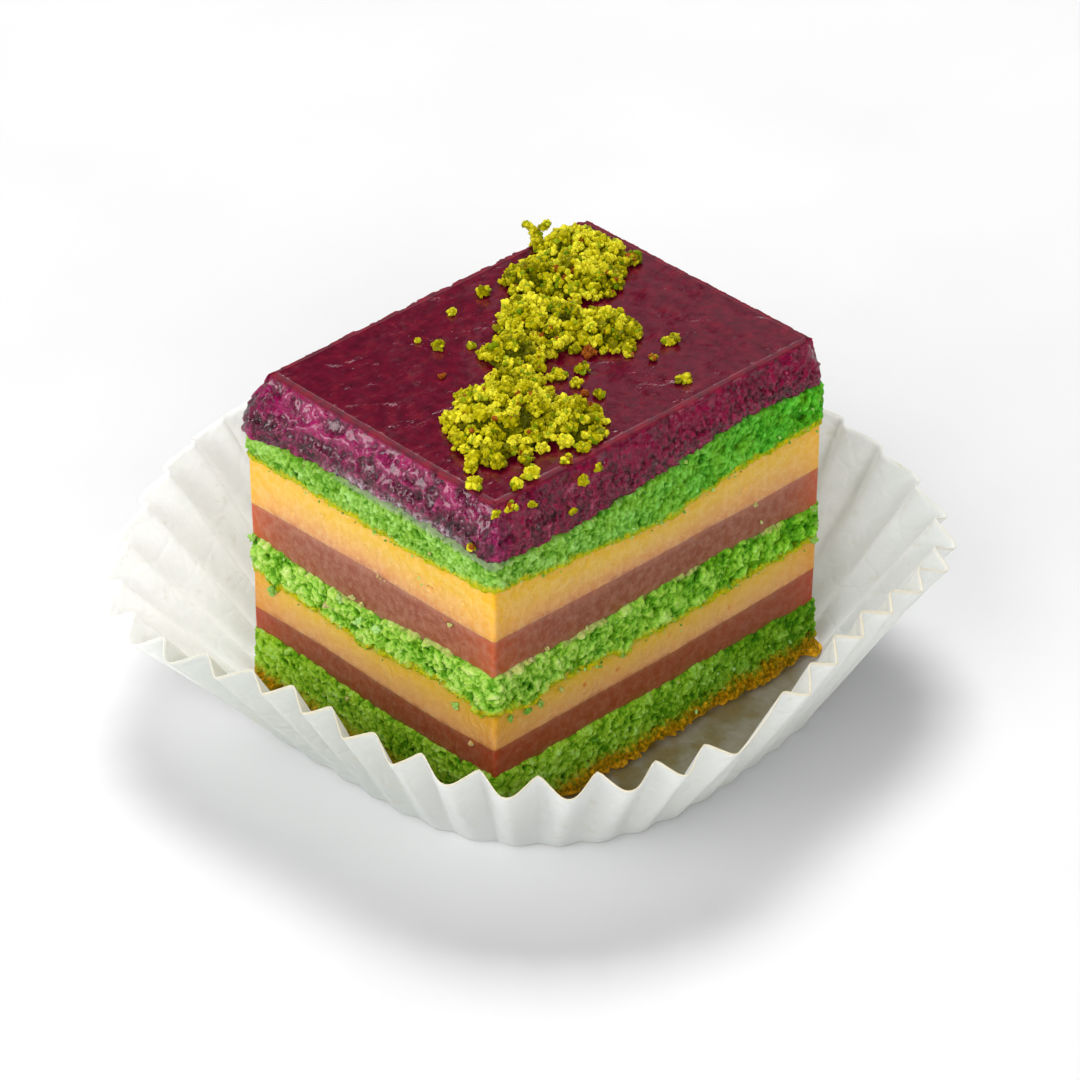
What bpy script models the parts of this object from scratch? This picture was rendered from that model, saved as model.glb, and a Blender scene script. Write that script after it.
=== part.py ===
"""One cut piece of layered mini cake, crumbs and all, standing in its white fluted paper case.

X runs along the cake's long side, Y along its short side and Z up. The origin is the middle of
the case's underside. Each layer reaches right through the cake, because its edge shows on the
cut sides.
"""

import math
import random

import bmesh
import bpy
from mathutils import Matrix, Vector, noise

MM = 0.001
GAP = 0.3 * MM

# The cake's cut block.
CAKE_LENGTH = 46.7 * MM
CAKE_WIDTH = 36.0 * MM
CORNER_RADIUS = 1.0 * MM
CORNER_STEPS = 3

# Each layer from the bottom up, with the height of its top in millimetres above the floor at
# the cake's left (-X +Y), front (-X -Y) and right (+X -Y) corners.
LAYER_TOPS = (
    ("sponge_base", (8.1, 7.6, 7.5)),
    ("ganache_lower", (11.0, 10.9, 11.4)),
    ("cream_lower", (15.4, 15.8, 15.4)),
    ("sponge_middle", (20.0, 20.3, 20.1)),
    ("ganache_upper", (23.9, 24.3, 24.0)),
    ("cream_upper", (30.2, 30.3, 29.3)),
    ("sponge_top", (33.7, 33.8, 34.6)),
    ("glaze", (39.2, 39.2, 39.2)),
)
SPONGES = ("sponge_base", "sponge_middle", "sponge_top")
# The distance between points round each kind of layer, how far its cut side is uneven, and how
# wide the bumps are.
SPONGE_SPACING = 2.3 * MM
CREAM_SPACING = 5.0 * MM
GLAZE_SPACING = 3.0 * MM
SPONGE_ROUGHNESS = 0.45 * MM
CREAM_ROUGHNESS = 0.14 * MM
GLAZE_ROUGHNESS = 0.22 * MM
SPONGE_GRAIN = 1.9 * MM
CREAM_GRAIN = 6.0 * MM
GLAZE_GRAIN = 2.4 * MM
# A sponge's edges stand back a little, and cream is slightly hollow between its neighbours.
SPONGE_EDGE_BACK = 0.3 * MM
CREAM_HOLLOW = 0.25 * MM
# The browned crust swells out over the lowest sponge's foot, up to this share of its height.
CRUST_SHARE = 0.4
CRUST_ROUGHNESS = 0.8 * MM
CRUST_GRAIN = 3.1 * MM

# How far the glaze's top edge stands back from each cut side, and the share of the glaze's
# height at which the slant starts.
GLAZE_INSET_LEFT = 1.8 * MM
GLAZE_INSET_FRONT = 1.6 * MM
GLAZE_INSET_RIGHT = 0.6 * MM
GLAZE_INSET_BACK = 1.3 * MM
GLAZE_SLANT_START = 0.3

# The paper case: a flat round base and a fluted wall of one slant length all round.
PAPER_THICKNESS = 0.25 * MM
BASE_RADIUS = 30.0 * MM
WALL_SLANT = 20.3 * MM
RIM_RADIUS = 41.1 * MM
FOLDS = 44
POINTS_PER_FOLD = 4
WALL_ROWS = 3
FOLD_START = 93.4
FOLD_DRIFT = 1.8
FOLD_DRIFT_START = 43.0
FOLD_DEPTH_BASE = 0.2 * MM
FOLD_DEPTH_RIM = 1.05 * MM
# The base is dented where the wall comes in between the cake's corners, as the angle of each
# dent and its depth in millimetres. A dent fades out within so many degrees.
BASE_DENTS = ((182.0, 2.6), (274.0, 2.5))
DENT_REACH = 40.0
# The rim stands further out over the cake's corners and towards the left. Each row is the
# number of lobes, how far they stand out in millimetres, and the angle of one of them.
RIM_LOBES = ((1, 1.8, 96.0), (2, 0.4, -71.0), (3, 0.9, -5.0), (4, 1.6, -41.0), (5, 1.0, 22.0),
             (6, 1.0, 26.0))

# The heap of pistachio crumbs as a row of low mounds from the front corner to the back one.
# Each is its middle in x and y, its radius and its height, in millimetres.
MOUNDS = (
    (-11.5, -7.0, 6.4, 3.0),
    (-7.0, -11.5, 3.6, 2.2),
    (-16.0, -9.0, 2.9, 1.7),
    (-11.5, -2.4, 3.0, 1.6),
    (-6.5, -3.0, 3.6, 2.0),
    (-2.0, 1.5, 3.8, 2.3),
    (3.4, 3.0, 5.0, 2.8),
    (8.0, -1.5, 3.8, 2.0),
    (3.0, 8.0, 3.2, 1.7),
    (9.2, 11.2, 3.6, 2.3),
    (13.4, 7.8, 4.2, 2.3),
    (17.0, 12.0, 4.2, 2.5),
    (19.6, 8.6, 2.8, 1.8),
)
CORE_DEPTH = 0.75 * MM
HEAP_GRAINS = 126
HEAP_EDGE_SHARE = 0.28
PLACES_TRIED = 7
GRAIN_SMALLEST = 0.7 * MM
GRAIN_LARGEST = 1.4 * MM
GRAIN_SEED = 31

# Crumbs that fell beside the heap, as the middle of each in x and y, in millimetres.
SCATTERED = (
    (4.4, 13.2), (-0.8, 12.4), (-6.8, 11.0), (-6.2, 8.4), (-10.0, 8.6), (-9.0, 5.0),
    (-18.4, 2.8), (-19.4, 5.2), (14.0, -7.0), (11.8, -7.6), (8.0, -8.4), (7.4, -13.0),
    (0.8, -8.8), (-1.2, -14.0), (-10.0, -15.4), (-13.0, -15.2), (-17.8, -14.6), (-20.2, -12.6),
)
SCATTERED_RADIUS = 0.75 * MM
LUMP_REACH = 1.45


def clear_scene():
    """Remove whatever the new file starts with."""
    for thing in list(bpy.data.objects):
        bpy.data.objects.remove(thing, do_unlink=True)


def surface(name, color, roughness, subsurface=0.0):
    """A plain material of one colour."""
    material = bpy.data.materials.new(name)
    material.use_nodes = True
    shader = material.node_tree.nodes["Principled BSDF"]
    shader.inputs["Base Color"].default_value = (*color, 1.0)
    shader.inputs["Roughness"].default_value = roughness
    shader.inputs["Subsurface Weight"].default_value = subsurface
    return material


def add_object(name, bm, material):
    """Turn a finished bmesh into a named object of the scene."""
    mesh = bpy.data.meshes.new(name)
    bm.to_mesh(mesh)
    bm.free()
    mesh.materials.append(material)
    thing = bpy.data.objects.new(name, mesh)
    bpy.context.scene.collection.objects.link(thing)
    return thing


def outline(spacing):
    """Points and outward directions round the cake's plan, anticlockwise from the front corner."""
    half = Vector((CAKE_LENGTH / 2 - CORNER_RADIUS, CAKE_WIDTH / 2 - CORNER_RADIUS))
    corners = ((-1, -1, 180), (1, -1, 270), (1, 1, 0), (-1, 1, 90))
    arcs = []
    for side_x, side_y, start in corners:
        middle = Vector((side_x * half.x, side_y * half.y))
        for step in range(CORNER_STEPS + 1):
            angle = math.radians(start + 90 * step / CORNER_STEPS)
            away = Vector((math.cos(angle), math.sin(angle)))
            arcs.append((middle + away * CORNER_RADIUS, away))
    points = []
    for index, (point, away) in enumerate(arcs):
        points.append((point, away))
        following, _ = arcs[(index + 1) % len(arcs)]
        reach = following - point
        pieces = round(reach.length / spacing)
        if pieces > 1 and (index + 1) % (CORNER_STEPS + 1) == 0:
            points += [(point + reach * k / pieces, away) for k in range(1, pieces)]
    return points


def plane_height(corner_heights, x, y):
    """Height at x, y of the plane through the heights given at three corners."""
    left, front, right = (height * MM for height in corner_heights)
    along = (x + CAKE_LENGTH / 2) / CAKE_LENGTH
    across = (y + CAKE_WIDTH / 2) / CAKE_WIDTH
    return front + (right - front) * along + (left - front) * across


def rough(x, y, z, grain, seed):
    """A smooth random value near -1 to 1, whose bumps are about `grain` across."""
    place = Vector((x, y, z)) / grain + Vector((seed, 2 * seed, 3 * seed))
    return 1.6 * noise.noise(place)


def layer_mesh(low, high, rows, spacing, shape):
    """A closed layer between two tilted planes. `rows` are shares of its height, and `shape`
    gives the place in plan of a point of the side from its outline place and that share."""
    bm = bmesh.new()
    rings = []
    for share in rows:
        ring = []
        for point, away in outline(spacing):
            middle = (low(point.x, point.y) + high(point.x, point.y)) / 2
            plan = shape(point, away, share, middle)
            bottom = low(plan.x, plan.y)
            height = bottom + (high(plan.x, plan.y) - bottom) * share
            ring.append(bm.verts.new((plan.x, plan.y, height)))
        rings.append(ring)
    for below, above in zip(rings, rings[1:]):
        for index in range(len(below)):
            after = (index + 1) % len(below)
            bm.faces.new((below[index], below[after], above[after], above[index]))
    bm.faces.new(list(reversed(rings[0])))
    bm.faces.new(rings[-1])
    bmesh.ops.triangulate(bm, faces=bm.faces[:])
    return bm


def sponge_shape(seed, crust):
    """Crumbly cut sponge. The lowest layer also has a browned crust that swells out below, but
    for its corners, which are worn."""

    def shape(point, away, share, height):
        level = height + share * 5 * MM
        bump = rough(point.x, point.y, level, SPONGE_GRAIN, seed)
        back = SPONGE_EDGE_BACK if share in (0.0, 1.0) else 0.0
        out = SPONGE_ROUGHNESS * bump - back
        if crust and share < CRUST_SHARE:
            lump = rough(point.x, point.y, level, CRUST_GRAIN, seed + 7)
            out += CRUST_ROUGHNESS * (0.5 * lump + 0.75) * (1 - share / CRUST_SHARE)
            if min(abs(away.x), abs(away.y)) > 0.01:
                out = min(out, -0.1 * MM)
        return point + away * out

    return shape


def cream_shape(seed):
    """Cream cut with a warm knife: nearly flat, with slow waves, and slightly hollow."""

    def shape(point, away, share, height):
        wave = rough(point.x, point.y, height, CREAM_GRAIN, seed)
        hollow = CREAM_HOLLOW * math.sin(math.pi * share)
        return point + away * (CREAM_ROUGHNESS * wave - hollow)

    return shape


def glaze_shape(point, away, share, height):
    """The jelly's cut edge, upright below and slanting back to the top's edge."""
    slant = max(0.0, (share - GLAZE_SLANT_START) / (1 - GLAZE_SLANT_START))
    inset_x = GLAZE_INSET_RIGHT * slant**2 if away.x > 0 else GLAZE_INSET_LEFT * slant
    inset_y = GLAZE_INSET_BACK * slant if away.y > 0 else GLAZE_INSET_FRONT * slant
    turned_x = math.copysign(min(1.0, math.sqrt(2) * abs(away.x)), away.x)
    turned_y = math.copysign(min(1.0, math.sqrt(2) * abs(away.y)), away.y)
    bump = GLAZE_ROUGHNESS * rough(point.x, point.y, share * 6 * MM, GLAZE_GRAIN, 31)
    edge = point + away * bump
    return Vector((edge.x - inset_x * turned_x, edge.y - inset_y * turned_y))


def build_layers():
    """Every layer of the cake but the glaze, each its own body, a small gap apart."""
    lowest = PAPER_THICKNESS + GAP
    colors = {
        "sponge": surface("green_sponge", (0.10, 0.36, 0.06), 0.75, 0.1),
        "cream": surface("yellow_cream", (0.83, 0.50, 0.18), 0.45, 0.2),
        "ganache": surface("milk_chocolate", (0.23, 0.07, 0.045), 0.4, 0.1),
    }
    for index, (name, tops) in enumerate(LAYER_TOPS[:-1]):
        under = LAYER_TOPS[index - 1][1]

        def low(x, y):
            return lowest if index == 0 else plane_height(under, x, y) + GAP

        def high(x, y):
            return plane_height(tops, x, y)

        if name in SPONGES:
            rows = (0.0, 0.12, 0.45, 1.0) if index == 0 else (0.0, 0.35, 0.7, 1.0)
            shape = sponge_shape(index + 3, index == 0)
            bm = layer_mesh(low, high, rows, SPONGE_SPACING, shape)
        else:
            bm = layer_mesh(low, high, (0.0, 0.5, 1.0), CREAM_SPACING, cream_shape(index))
        add_object(name, bm, colors[name.split("_")[0]])


def grain_mesh(bm, middle, radius, squash, draw):
    """Add one knobbly crumb to bm: an uneven twenty-sided lump, turned at random."""
    made = bmesh.ops.create_icosphere(bm, subdivisions=1, radius=radius)["verts"]
    turn = Matrix.Rotation(draw.uniform(0, 2 * math.pi), 3, "Z")
    turn @= Matrix.Rotation(draw.uniform(0, math.pi), 3, "X")
    sides = Vector([draw.uniform(0.8, 1.2) for _ in range(3)])
    for vert in made:
        lump = Vector([vert.co[k] * sides[k] * draw.uniform(0.88, 1.1) for k in range(3)])
        lump.rotate(turn)
        lump.z *= squash
        vert.co = lump + middle


def grain_object(middle, radius, squash, draw):
    """One crumb as a helper object of its own, ready to be joined."""
    bm = bmesh.new()
    grain_mesh(bm, middle, radius, squash, draw)
    return add_object("helper", bm, None)


def largest_piece(bm):
    """Drop loose scraps and fill sealed hollows: keep only the piece of the widest reach."""
    left = set(bm.verts)
    pieces = []
    while left:
        start = left.pop()
        piece = {start}
        edge = [start]
        while edge:
            vert = edge.pop()
            for link in vert.link_edges:
                other = link.other_vert(vert)
                if other not in piece:
                    piece.add(other)
                    edge.append(other)
        left -= piece
        pieces.append(piece)
    pieces.sort(key=lambda piece: max(v.co.x for v in piece) - min(v.co.x for v in piece))
    for piece in pieces[:-1]:
        bmesh.ops.delete(bm, geom=list(piece), context="VERTS")


def boolean(thing, operation, others):
    """Apply one Boolean of the helpers in `others` to `thing`, and remove the helpers."""
    group = bpy.data.collections.new("helpers")
    bpy.context.scene.collection.children.link(group)
    for other in others:
        bpy.context.scene.collection.objects.unlink(other)
        group.objects.link(other)
    change = thing.modifiers.new(operation.lower(), "BOOLEAN")
    change.operation = operation
    change.operand_type = "COLLECTION"
    change.collection = group
    change.solver = "EXACT"
    bpy.context.view_layer.update()
    graph = bpy.context.evaluated_depsgraph_get()
    mesh = bpy.data.meshes.new_from_object(thing.evaluated_get(graph))
    thing.modifiers.clear()
    thing.data = mesh
    for other in others:
        bpy.data.objects.remove(other, do_unlink=True)
    bpy.data.collections.remove(group)


def tidy_mesh(thing):
    """Keep one closed body of plain triangles."""
    bm = bmesh.new()
    bm.from_mesh(thing.data)
    largest_piece(bm)
    bmesh.ops.triangulate(bm, faces=bm.faces[:])
    bmesh.ops.recalc_face_normals(bm, faces=bm.faces[:])
    bm.to_mesh(thing.data)
    bm.free()


def build_glaze():
    """The jelly on top, with the crumbs that fell beside the heap fused to it."""
    under, tops = LAYER_TOPS[-2][1], LAYER_TOPS[-1][1]
    top = tops[0] * MM

    def low(x, y):
        return plane_height(under, x, y) + GAP

    def high(x, y):
        return top

    rows = (0.0, 0.15, GLAZE_SLANT_START, 0.65, 0.93, 1.0)
    bm = layer_mesh(low, high, rows, GLAZE_SPACING, glaze_shape)
    glaze = add_object("glaze", bm, surface("crimson_jelly", (0.10, 0.004, 0.02), 0.2, 0.1))
    draw = random.Random(GRAIN_SEED)
    crumbs = []
    for x, y in SCATTERED:
        radius = SCATTERED_RADIUS * draw.uniform(0.75, 1.15)
        middle = Vector((x * MM, y * MM, top + 0.45 * radius))
        crumbs.append(grain_object(middle, radius, 0.9, draw))
    boolean(glaze, "UNION", crumbs)
    tidy_mesh(glaze)


def heap_height(x, y):
    """Height in millimetres of the heap's core over its floor, or zero beside it."""
    found = 0.0
    for middle_x, middle_y, reach, height in MOUNDS:
        share = math.hypot(x - middle_x, y - middle_y) / reach
        if share < 1:
            found = max(found, (height - CORE_DEPTH / MM) * math.sqrt(1 - share**2))
    return found


def heap_place(floor, radius, draw):
    """A random place for a crumb of this radius, on the core or round its foot, and clear of
    the crumbs beside the heap."""
    weights = [reach**2 for _, _, reach, _ in MOUNDS]
    clear = (radius + SCATTERED_RADIUS) * LUMP_REACH / MM
    while True:
        middle_x, middle_y, reach, _ = draw.choices(MOUNDS, weights)[0]
        turn = draw.uniform(0, 2 * math.pi)
        share = 1.0 if draw.random() < HEAP_EDGE_SHARE else math.sqrt(draw.random())
        x = middle_x + reach * share * math.cos(turn)
        y = middle_y + reach * share * math.sin(turn)
        if min(math.hypot(x - fallen_x, y - fallen_y) for fallen_x, fallen_y in SCATTERED) > clear:
            return Vector((x * MM, y * MM, floor + max(heap_height(x, y) * MM, 0.35 * radius)))


def room_round(place, placed):
    """Distance from a place to the nearest crumb already placed."""
    return min(((place - other).length for other in placed), default=1.0)


def build_heap():
    """The heap: low mounds as its core, and crumbs over them and round their feet."""
    floor = LAYER_TOPS[-1][1][0] * MM + GAP
    draw = random.Random(GRAIN_SEED + 1)
    mounds = []
    for x, y, reach, height in MOUNDS:
        bm = bmesh.new()
        bmesh.ops.create_icosphere(bm, subdivisions=2, radius=1.0)
        scale = Vector((reach * MM, reach * MM, height * MM - CORE_DEPTH))
        for vert in bm.verts:
            vert.co = vert.co * scale + Vector((x * MM, y * MM, floor))
        mounds.append(add_object("helper", bm, None))
    grains = []
    placed = []
    sizes = sorted((draw.random() ** 1.4 for _ in range(HEAP_GRAINS)), reverse=True)
    for size in sizes:
        radius = GRAIN_SMALLEST + (GRAIN_LARGEST - GRAIN_SMALLEST) * size
        tried = [heap_place(floor, radius, draw) for _ in range(PLACES_TRIED)]
        middle = max(tried, key=lambda place: room_round(place, placed))
        placed.append(middle)
        grains.append(grain_object(middle, radius, 1.0, draw))
    heap = mounds[0]
    heap.name = "pistachio_crumbs"
    heap.data.name = "pistachio_crumbs"
    boolean(heap, "UNION", mounds[1:] + grains)
    bm = bmesh.new()
    bmesh.ops.create_cube(bm, size=1.0)
    block = Matrix.LocRotScale(Vector((0, 0, floor - 10 * MM)), None, Vector((1, 1, 0.02)))
    bmesh.ops.transform(bm, matrix=block, verts=bm.verts[:])
    boolean(heap, "DIFFERENCE", [add_object("helper", bm, None)])
    tidy_mesh(heap)
    heap.data.materials.clear()
    heap.data.materials.append(surface("pistachio", (0.50, 0.46, 0.02), 0.6))


def wall_point(angle, along, fold):
    """Underside of the sheet, `along` the slant from the base's edge. `fold` is 1 on the crest
    of an outer fold and -1 in the bottom of an inner one."""
    rim = RIM_RADIUS
    for lobes, reach, start in RIM_LOBES:
        rim += reach * MM * math.cos(lobes * (angle - math.radians(start)))
    base = BASE_RADIUS
    for start, reach in BASE_DENTS:
        off = abs((math.degrees(angle) - start + 180) % 360 - 180)
        if off < DENT_REACH:
            base -= reach * MM * math.cos(math.pi / 2 * off / DENT_REACH) ** 2
    lean = math.acos((rim - base) / WALL_SLANT)
    depth = FOLD_DEPTH_BASE + (FOLD_DEPTH_RIM - FOLD_DEPTH_BASE) * along / WALL_SLANT
    radius = base + along * math.cos(lean) + fold * depth * math.sin(lean)
    height = along * math.sin(lean)
    if along > 0:
        height -= fold * depth * math.cos(lean)
    return Vector((radius * math.cos(angle), radius * math.sin(angle), height))


def build_case():
    """The case as one pleated sheet, thickened inwards so that its underside stays flat."""
    count = FOLDS * POINTS_PER_FOLD
    profile = {0: -1.0, 1: -0.08, 2: 1.0, 3: -0.08}
    bm = bmesh.new()
    rings = []
    for row in range(WALL_ROWS + 1):
        along = WALL_SLANT * row / WALL_ROWS
        ring = []
        for index in range(count):
            turn = 2 * math.pi * index / count
            drift = FOLD_DRIFT * math.sin(turn - math.radians(FOLD_DRIFT_START))
            angle = turn + math.radians(FOLD_START + drift)
            fold = profile[index % POINTS_PER_FOLD]
            ring.append(bm.verts.new(wall_point(angle, along, fold)))
        rings.append(ring)
    centre = bm.verts.new((0, 0, 0))
    for index in range(count):
        after = (index + 1) % count
        bm.faces.new((centre, rings[0][after], rings[0][index]))
        for inner, outer in zip(rings, rings[1:]):
            bm.faces.new((inner[index], inner[after], outer[after], outer[index]))
    bmesh.ops.recalc_face_normals(bm, faces=bm.faces[:])
    if centre.normal.z > 0:
        bmesh.ops.reverse_faces(bm, faces=bm.faces[:])
    case = add_object("paper_case", bm, surface("white_paper", (0.86, 0.86, 0.84), 0.8))
    sheet = case.modifiers.new("thickness", "SOLIDIFY")
    sheet.thickness = PAPER_THICKNESS
    sheet.offset = -1.0
    sheet.use_even_offset = True


clear_scene()
build_case()
build_layers()
build_glaze()
build_heap()
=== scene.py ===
"""A cut piece of layered mini cake with a jelly top and pistachio crumbs, in its fluted paper case.

Lengths are in millimetres until a piece is finished. X runs along the cake's long side, Y along
its short side and Z up, from the middle of the case's underside.
"""

import random
from math import acos, copysign, cos, degrees, exp, hypot, pi, radians, sin, sqrt

import bmesh
import bpy
from mathutils import Euler, Matrix, Vector, noise


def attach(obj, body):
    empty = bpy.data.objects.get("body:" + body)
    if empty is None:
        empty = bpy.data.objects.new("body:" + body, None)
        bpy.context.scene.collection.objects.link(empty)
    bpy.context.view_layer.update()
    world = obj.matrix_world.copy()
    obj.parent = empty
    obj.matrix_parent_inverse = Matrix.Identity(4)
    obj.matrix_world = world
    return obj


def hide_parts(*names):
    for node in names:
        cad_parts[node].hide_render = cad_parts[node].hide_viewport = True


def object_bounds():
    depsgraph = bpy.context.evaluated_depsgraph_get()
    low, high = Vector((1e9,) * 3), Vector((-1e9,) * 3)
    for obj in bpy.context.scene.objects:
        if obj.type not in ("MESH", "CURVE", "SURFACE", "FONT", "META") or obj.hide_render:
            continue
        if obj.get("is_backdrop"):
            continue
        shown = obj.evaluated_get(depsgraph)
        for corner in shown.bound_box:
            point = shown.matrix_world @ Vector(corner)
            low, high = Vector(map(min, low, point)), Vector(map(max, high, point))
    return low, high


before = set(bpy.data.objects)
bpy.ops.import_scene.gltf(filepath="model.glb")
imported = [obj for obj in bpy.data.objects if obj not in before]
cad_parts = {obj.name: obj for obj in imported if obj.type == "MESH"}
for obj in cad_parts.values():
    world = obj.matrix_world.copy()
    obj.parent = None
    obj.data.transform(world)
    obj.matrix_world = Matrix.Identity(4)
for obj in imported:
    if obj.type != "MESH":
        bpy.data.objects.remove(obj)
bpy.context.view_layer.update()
scene = bpy.context.scene
scene.view_settings.view_transform = "Standard"

# The paper case. White greaseproof paper, pressed hot between two dies into a flat round base
# and a wall of 44 pleats. The cake's corners push the pleats open, so the rim stands further
# out over them, and the wall comes in along the cake's sides.
MM = 0.001
UP = Vector((0.0, 0.0, 1.0))
PLEATS = 44
PLEAT_STEPS = 14
BASE_ROWS = 9
WALL_ROWS = 36
PAPER_THICKNESS = 0.1
PAPER_BASE_RADIUS = 30.0
PAPER_SLANT = 20.3
PAPER_RIM_RADIUS = 41.1
# The rim's radius where the pleats are still shut, and where they are pushed open.
RIM_SHUT = 38.5
RIM_OPEN = 44.0
PLEAT_START = 93.4
PLEAT_DRIFT = 1.8
PLEAT_DRIFT_START = 43.0
PLEAT_WANDER = 0.5
PLEAT_DEPTH_BASE = 0.2
PLEAT_DEPTH_RIM = 1.05
# The shares of a pleat over which its inner and its outer fold are curved, shut and open.
INNER_FOLD = (0.14, 0.08)
OUTER_FOLD = (0.07, 0.62)
BASE_BEND = 0.5
BASE_SAG = 0.05
RIM_WAVE = 0.16
RIM_LOBES = ((1, 1.8, 96.0), (2, 0.4, -71.0), (3, 0.9, -5.0), (4, 1.6, -41.0), (5, 1.0, 22.0),
             (6, 1.0, 26.0))
BASE_DENTS = ((182.0, 2.6), (274.0, 2.5))
DENT_REACH = 40.0
CRUMPLED_AT = 318.0
CRUMPLE_DEPTH = 0.1
WIDE_FOLD = 19.5
WIDE_FOLD_PLEATS = 1.5
GREASED_AT = 245.0
FRONT_SHADE_TOWARD = (-0.1, -1.0, 0.0)
SHADED_TOWARD = (-1.0, 0.0, 0.0)


def paint(red, green, blue):
    """A colour as a shader takes it, from the 0 to 255 values a screen shows it with."""
    shares = (red / 255, green / 255, blue / 255)
    return (*(s / 12.92 if s < 0.04045 else ((s + 0.055) / 1.055) ** 2.4 for s in shares), 1.0)


class Reading:
    """What a shader node gives at each point of a piece. Its sums and products are readings too."""

    def __init__(self, socket):
        self.socket, self.tree = socket, socket.id_data

    def reckon(self, operation, first, second):
        return read(self.tree, "Math", 0, {0: first, 1: second}, operation=operation)

    def __add__(self, other):
        return self.reckon("ADD", self, other)

    def __sub__(self, other):
        return self.reckon("SUBTRACT", self, other)

    def __mul__(self, other):
        return self.reckon("MULTIPLY", self, other)

    def __rtruediv__(self, other):
        return self.reckon("DIVIDE", other, self)


def wire(node, inputs):
    """Set a node's inputs. Each takes a value, or the reading that feeds it."""
    for name, value in inputs.items():
        if isinstance(value, Reading):
            value.tree.links.new(value.socket, node.inputs[name])
        else:
            node.inputs[name].default_value = value
    return node


def put(tree, kind, inputs, **properties):
    """Add a node to a tree."""
    node = tree.nodes.new("ShaderNode" + kind)
    for name, value in properties.items():
        setattr(node, name, value)
    return wire(node, inputs)


def read(tree, kind, output, inputs, **properties):
    """Add a node to a tree and read one of its outputs."""
    return Reading(put(tree, kind, inputs, **properties).outputs[output])


def blend(share, first, second):
    """The colour between two, by share."""
    return read(share.tree, "Mix", 2, {0: share, 6: first, 7: second}, data_type="RGBA")


def reach(value, low, high, to_low=0.0, to_high=1.0):
    """A value brought from one range into another, and held inside it."""
    sockets = {"Value": value, "From Min": low, "From Max": high, "To Min": to_low, "To Max": to_high}
    return read(value.tree, "MapRange", "Result", sockets)


def ramp(value, *stops):
    """The colour at a value, from rows of a place and the colour that a screen shows there."""
    node = put(value.tree, "ValToRGB", {"Fac": value})
    marks = node.color_ramp.elements
    while len(marks) < len(stops):
        marks.new(0.5)
    for mark, (place, *color) in zip(marks, stops):
        mark.position = place
        mark.color = paint(*color)
    return Reading(node.outputs["Color"])


def vectors(operation, first, second, output="Vector"):
    """A sum, product or other result of two directions or places."""
    return read(first.tree, "VectorMath", output, {0: first, 1: second}, operation=operation)


def clouds(place, size, detail=2.0, roughness=0.5):
    """Soft noise from 0 to 1, whose patches are about `size` millimetres across."""
    sockets = {"Vector": place, "Scale": 1 / size, "Detail": detail, "Roughness": roughness}
    return read(place.tree, "TexNoise", "Fac", sockets)


def relief(height, depth, below=None):
    """A normal that stands for relief `depth` millimetres deep, on top of the relief below."""
    sockets = {"Height": height, "Distance": depth * MM, "Strength": 1.0}
    if below is not None:
        sockets["Normal"] = below
    return read(height.tree, "Bump", "Normal", sockets)


def soft(roughness, specular, glow, through, depth):
    """A shader's plain values for a thing that light soaks into, to a depth in millimetres."""
    return {"Roughness": roughness, "Specular IOR Level": specular, "Subsurface Weight": glow,
            "Subsurface Radius": through, "Subsurface Scale": depth * MM}


def new_material(name, inputs):
    """A material with its shader's plain values set. Returns it with its shader, and with where
    a point of the piece is in millimetres."""
    material = bpy.data.materials.new(name)
    material.use_nodes = True
    tree = material.node_tree
    place = read(tree, "TexCoord", "Object", {})
    place = read(tree, "VectorMath", 0, {0: place, "Scale": 1 / MM}, operation="SCALE")
    return material, wire(tree.nodes["Principled BSDF"], inputs), place


def marks_of(place):
    """The three marks a piece's mesh carries at each point."""
    color = read(place.tree, "Attribute", "Color", {}, attribute_name="marks")
    return [Reading(part) for part in put(place.tree, "SeparateColor", {"Color": color}).outputs[:3]]


def finish_piece(name, bm, material, slot, *nodes, smooth=True):
    """Bring a piece to metres and give it to the scene in place of its plain solids."""
    bmesh.ops.scale(bm, vec=(MM, MM, MM), verts=bm.verts[:])
    for face in bm.faces:
        face.smooth = smooth
    mesh = bpy.data.meshes.new(name)
    bm.to_mesh(mesh)
    bm.free()
    mesh.materials.append(material)
    piece = bpy.data.objects.new(name, mesh)
    scene.collection.objects.link(piece)
    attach(piece, "root")
    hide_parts(*nodes)
    return piece


def new_piece():
    """An empty piece whose points can carry three marks."""
    bm = bmesh.new()
    bm.verts.layers.float_color.new("marks")
    return bm


def band(around, up, place):
    """A sheet wrapped round once, with its seam closed. place(turn, rise) gives each vertex its
    point and its marks, with turn and rise from 0 to 1."""
    bm = new_piece()
    bmesh.ops.create_grid(bm, x_segments=around, y_segments=up, size=1.0)
    marks = bm.verts.layers.float_color["marks"]
    for vert in bm.verts:
        vert.co, mark = place((vert.co.x + 1) / 2, (vert.co.y + 1) / 2)
        vert[marks] = (*mark, 1.0)
    bmesh.ops.remove_doubles(bm, verts=bm.verts[:], dist=1e-4)
    return bm


def held(value):
    """A value held between 0 and 1."""
    return min(1.0, max(0.0, value))


def between(low, high, share):
    """The value part of the way from one to another."""
    return low + (high - low) * share


def ease(value, low, high):
    """0 below low, 1 above high, and a smooth rise between."""
    share = held((value - low) / (high - low))
    return share * share * (3 - 2 * share)


def wobble(point, size, shift=(0, 0, 0)):
    """Smooth noise from -1 to 1, with swells about `size` millimetres across."""
    return noise.noise(point / size + Vector(shift))


def pleat(share, inner_round, outer_round):
    """-1 in the bottom of an inner fold (share 0) to 1 on the crest of an outer one (share 1).
    The rounds are the shares over which each of them is curved."""
    whole = 1 - inner_round / 2 - outer_round / 2
    if share < inner_round:
        rise = share**2 / (2 * inner_round)
    elif share > 1 - outer_round:
        rise = whole - (1 - share) ** 2 / (2 * outer_round)
    else:
        rise = share - inner_round / 2
    return 2 * rise / whole - 1


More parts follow.
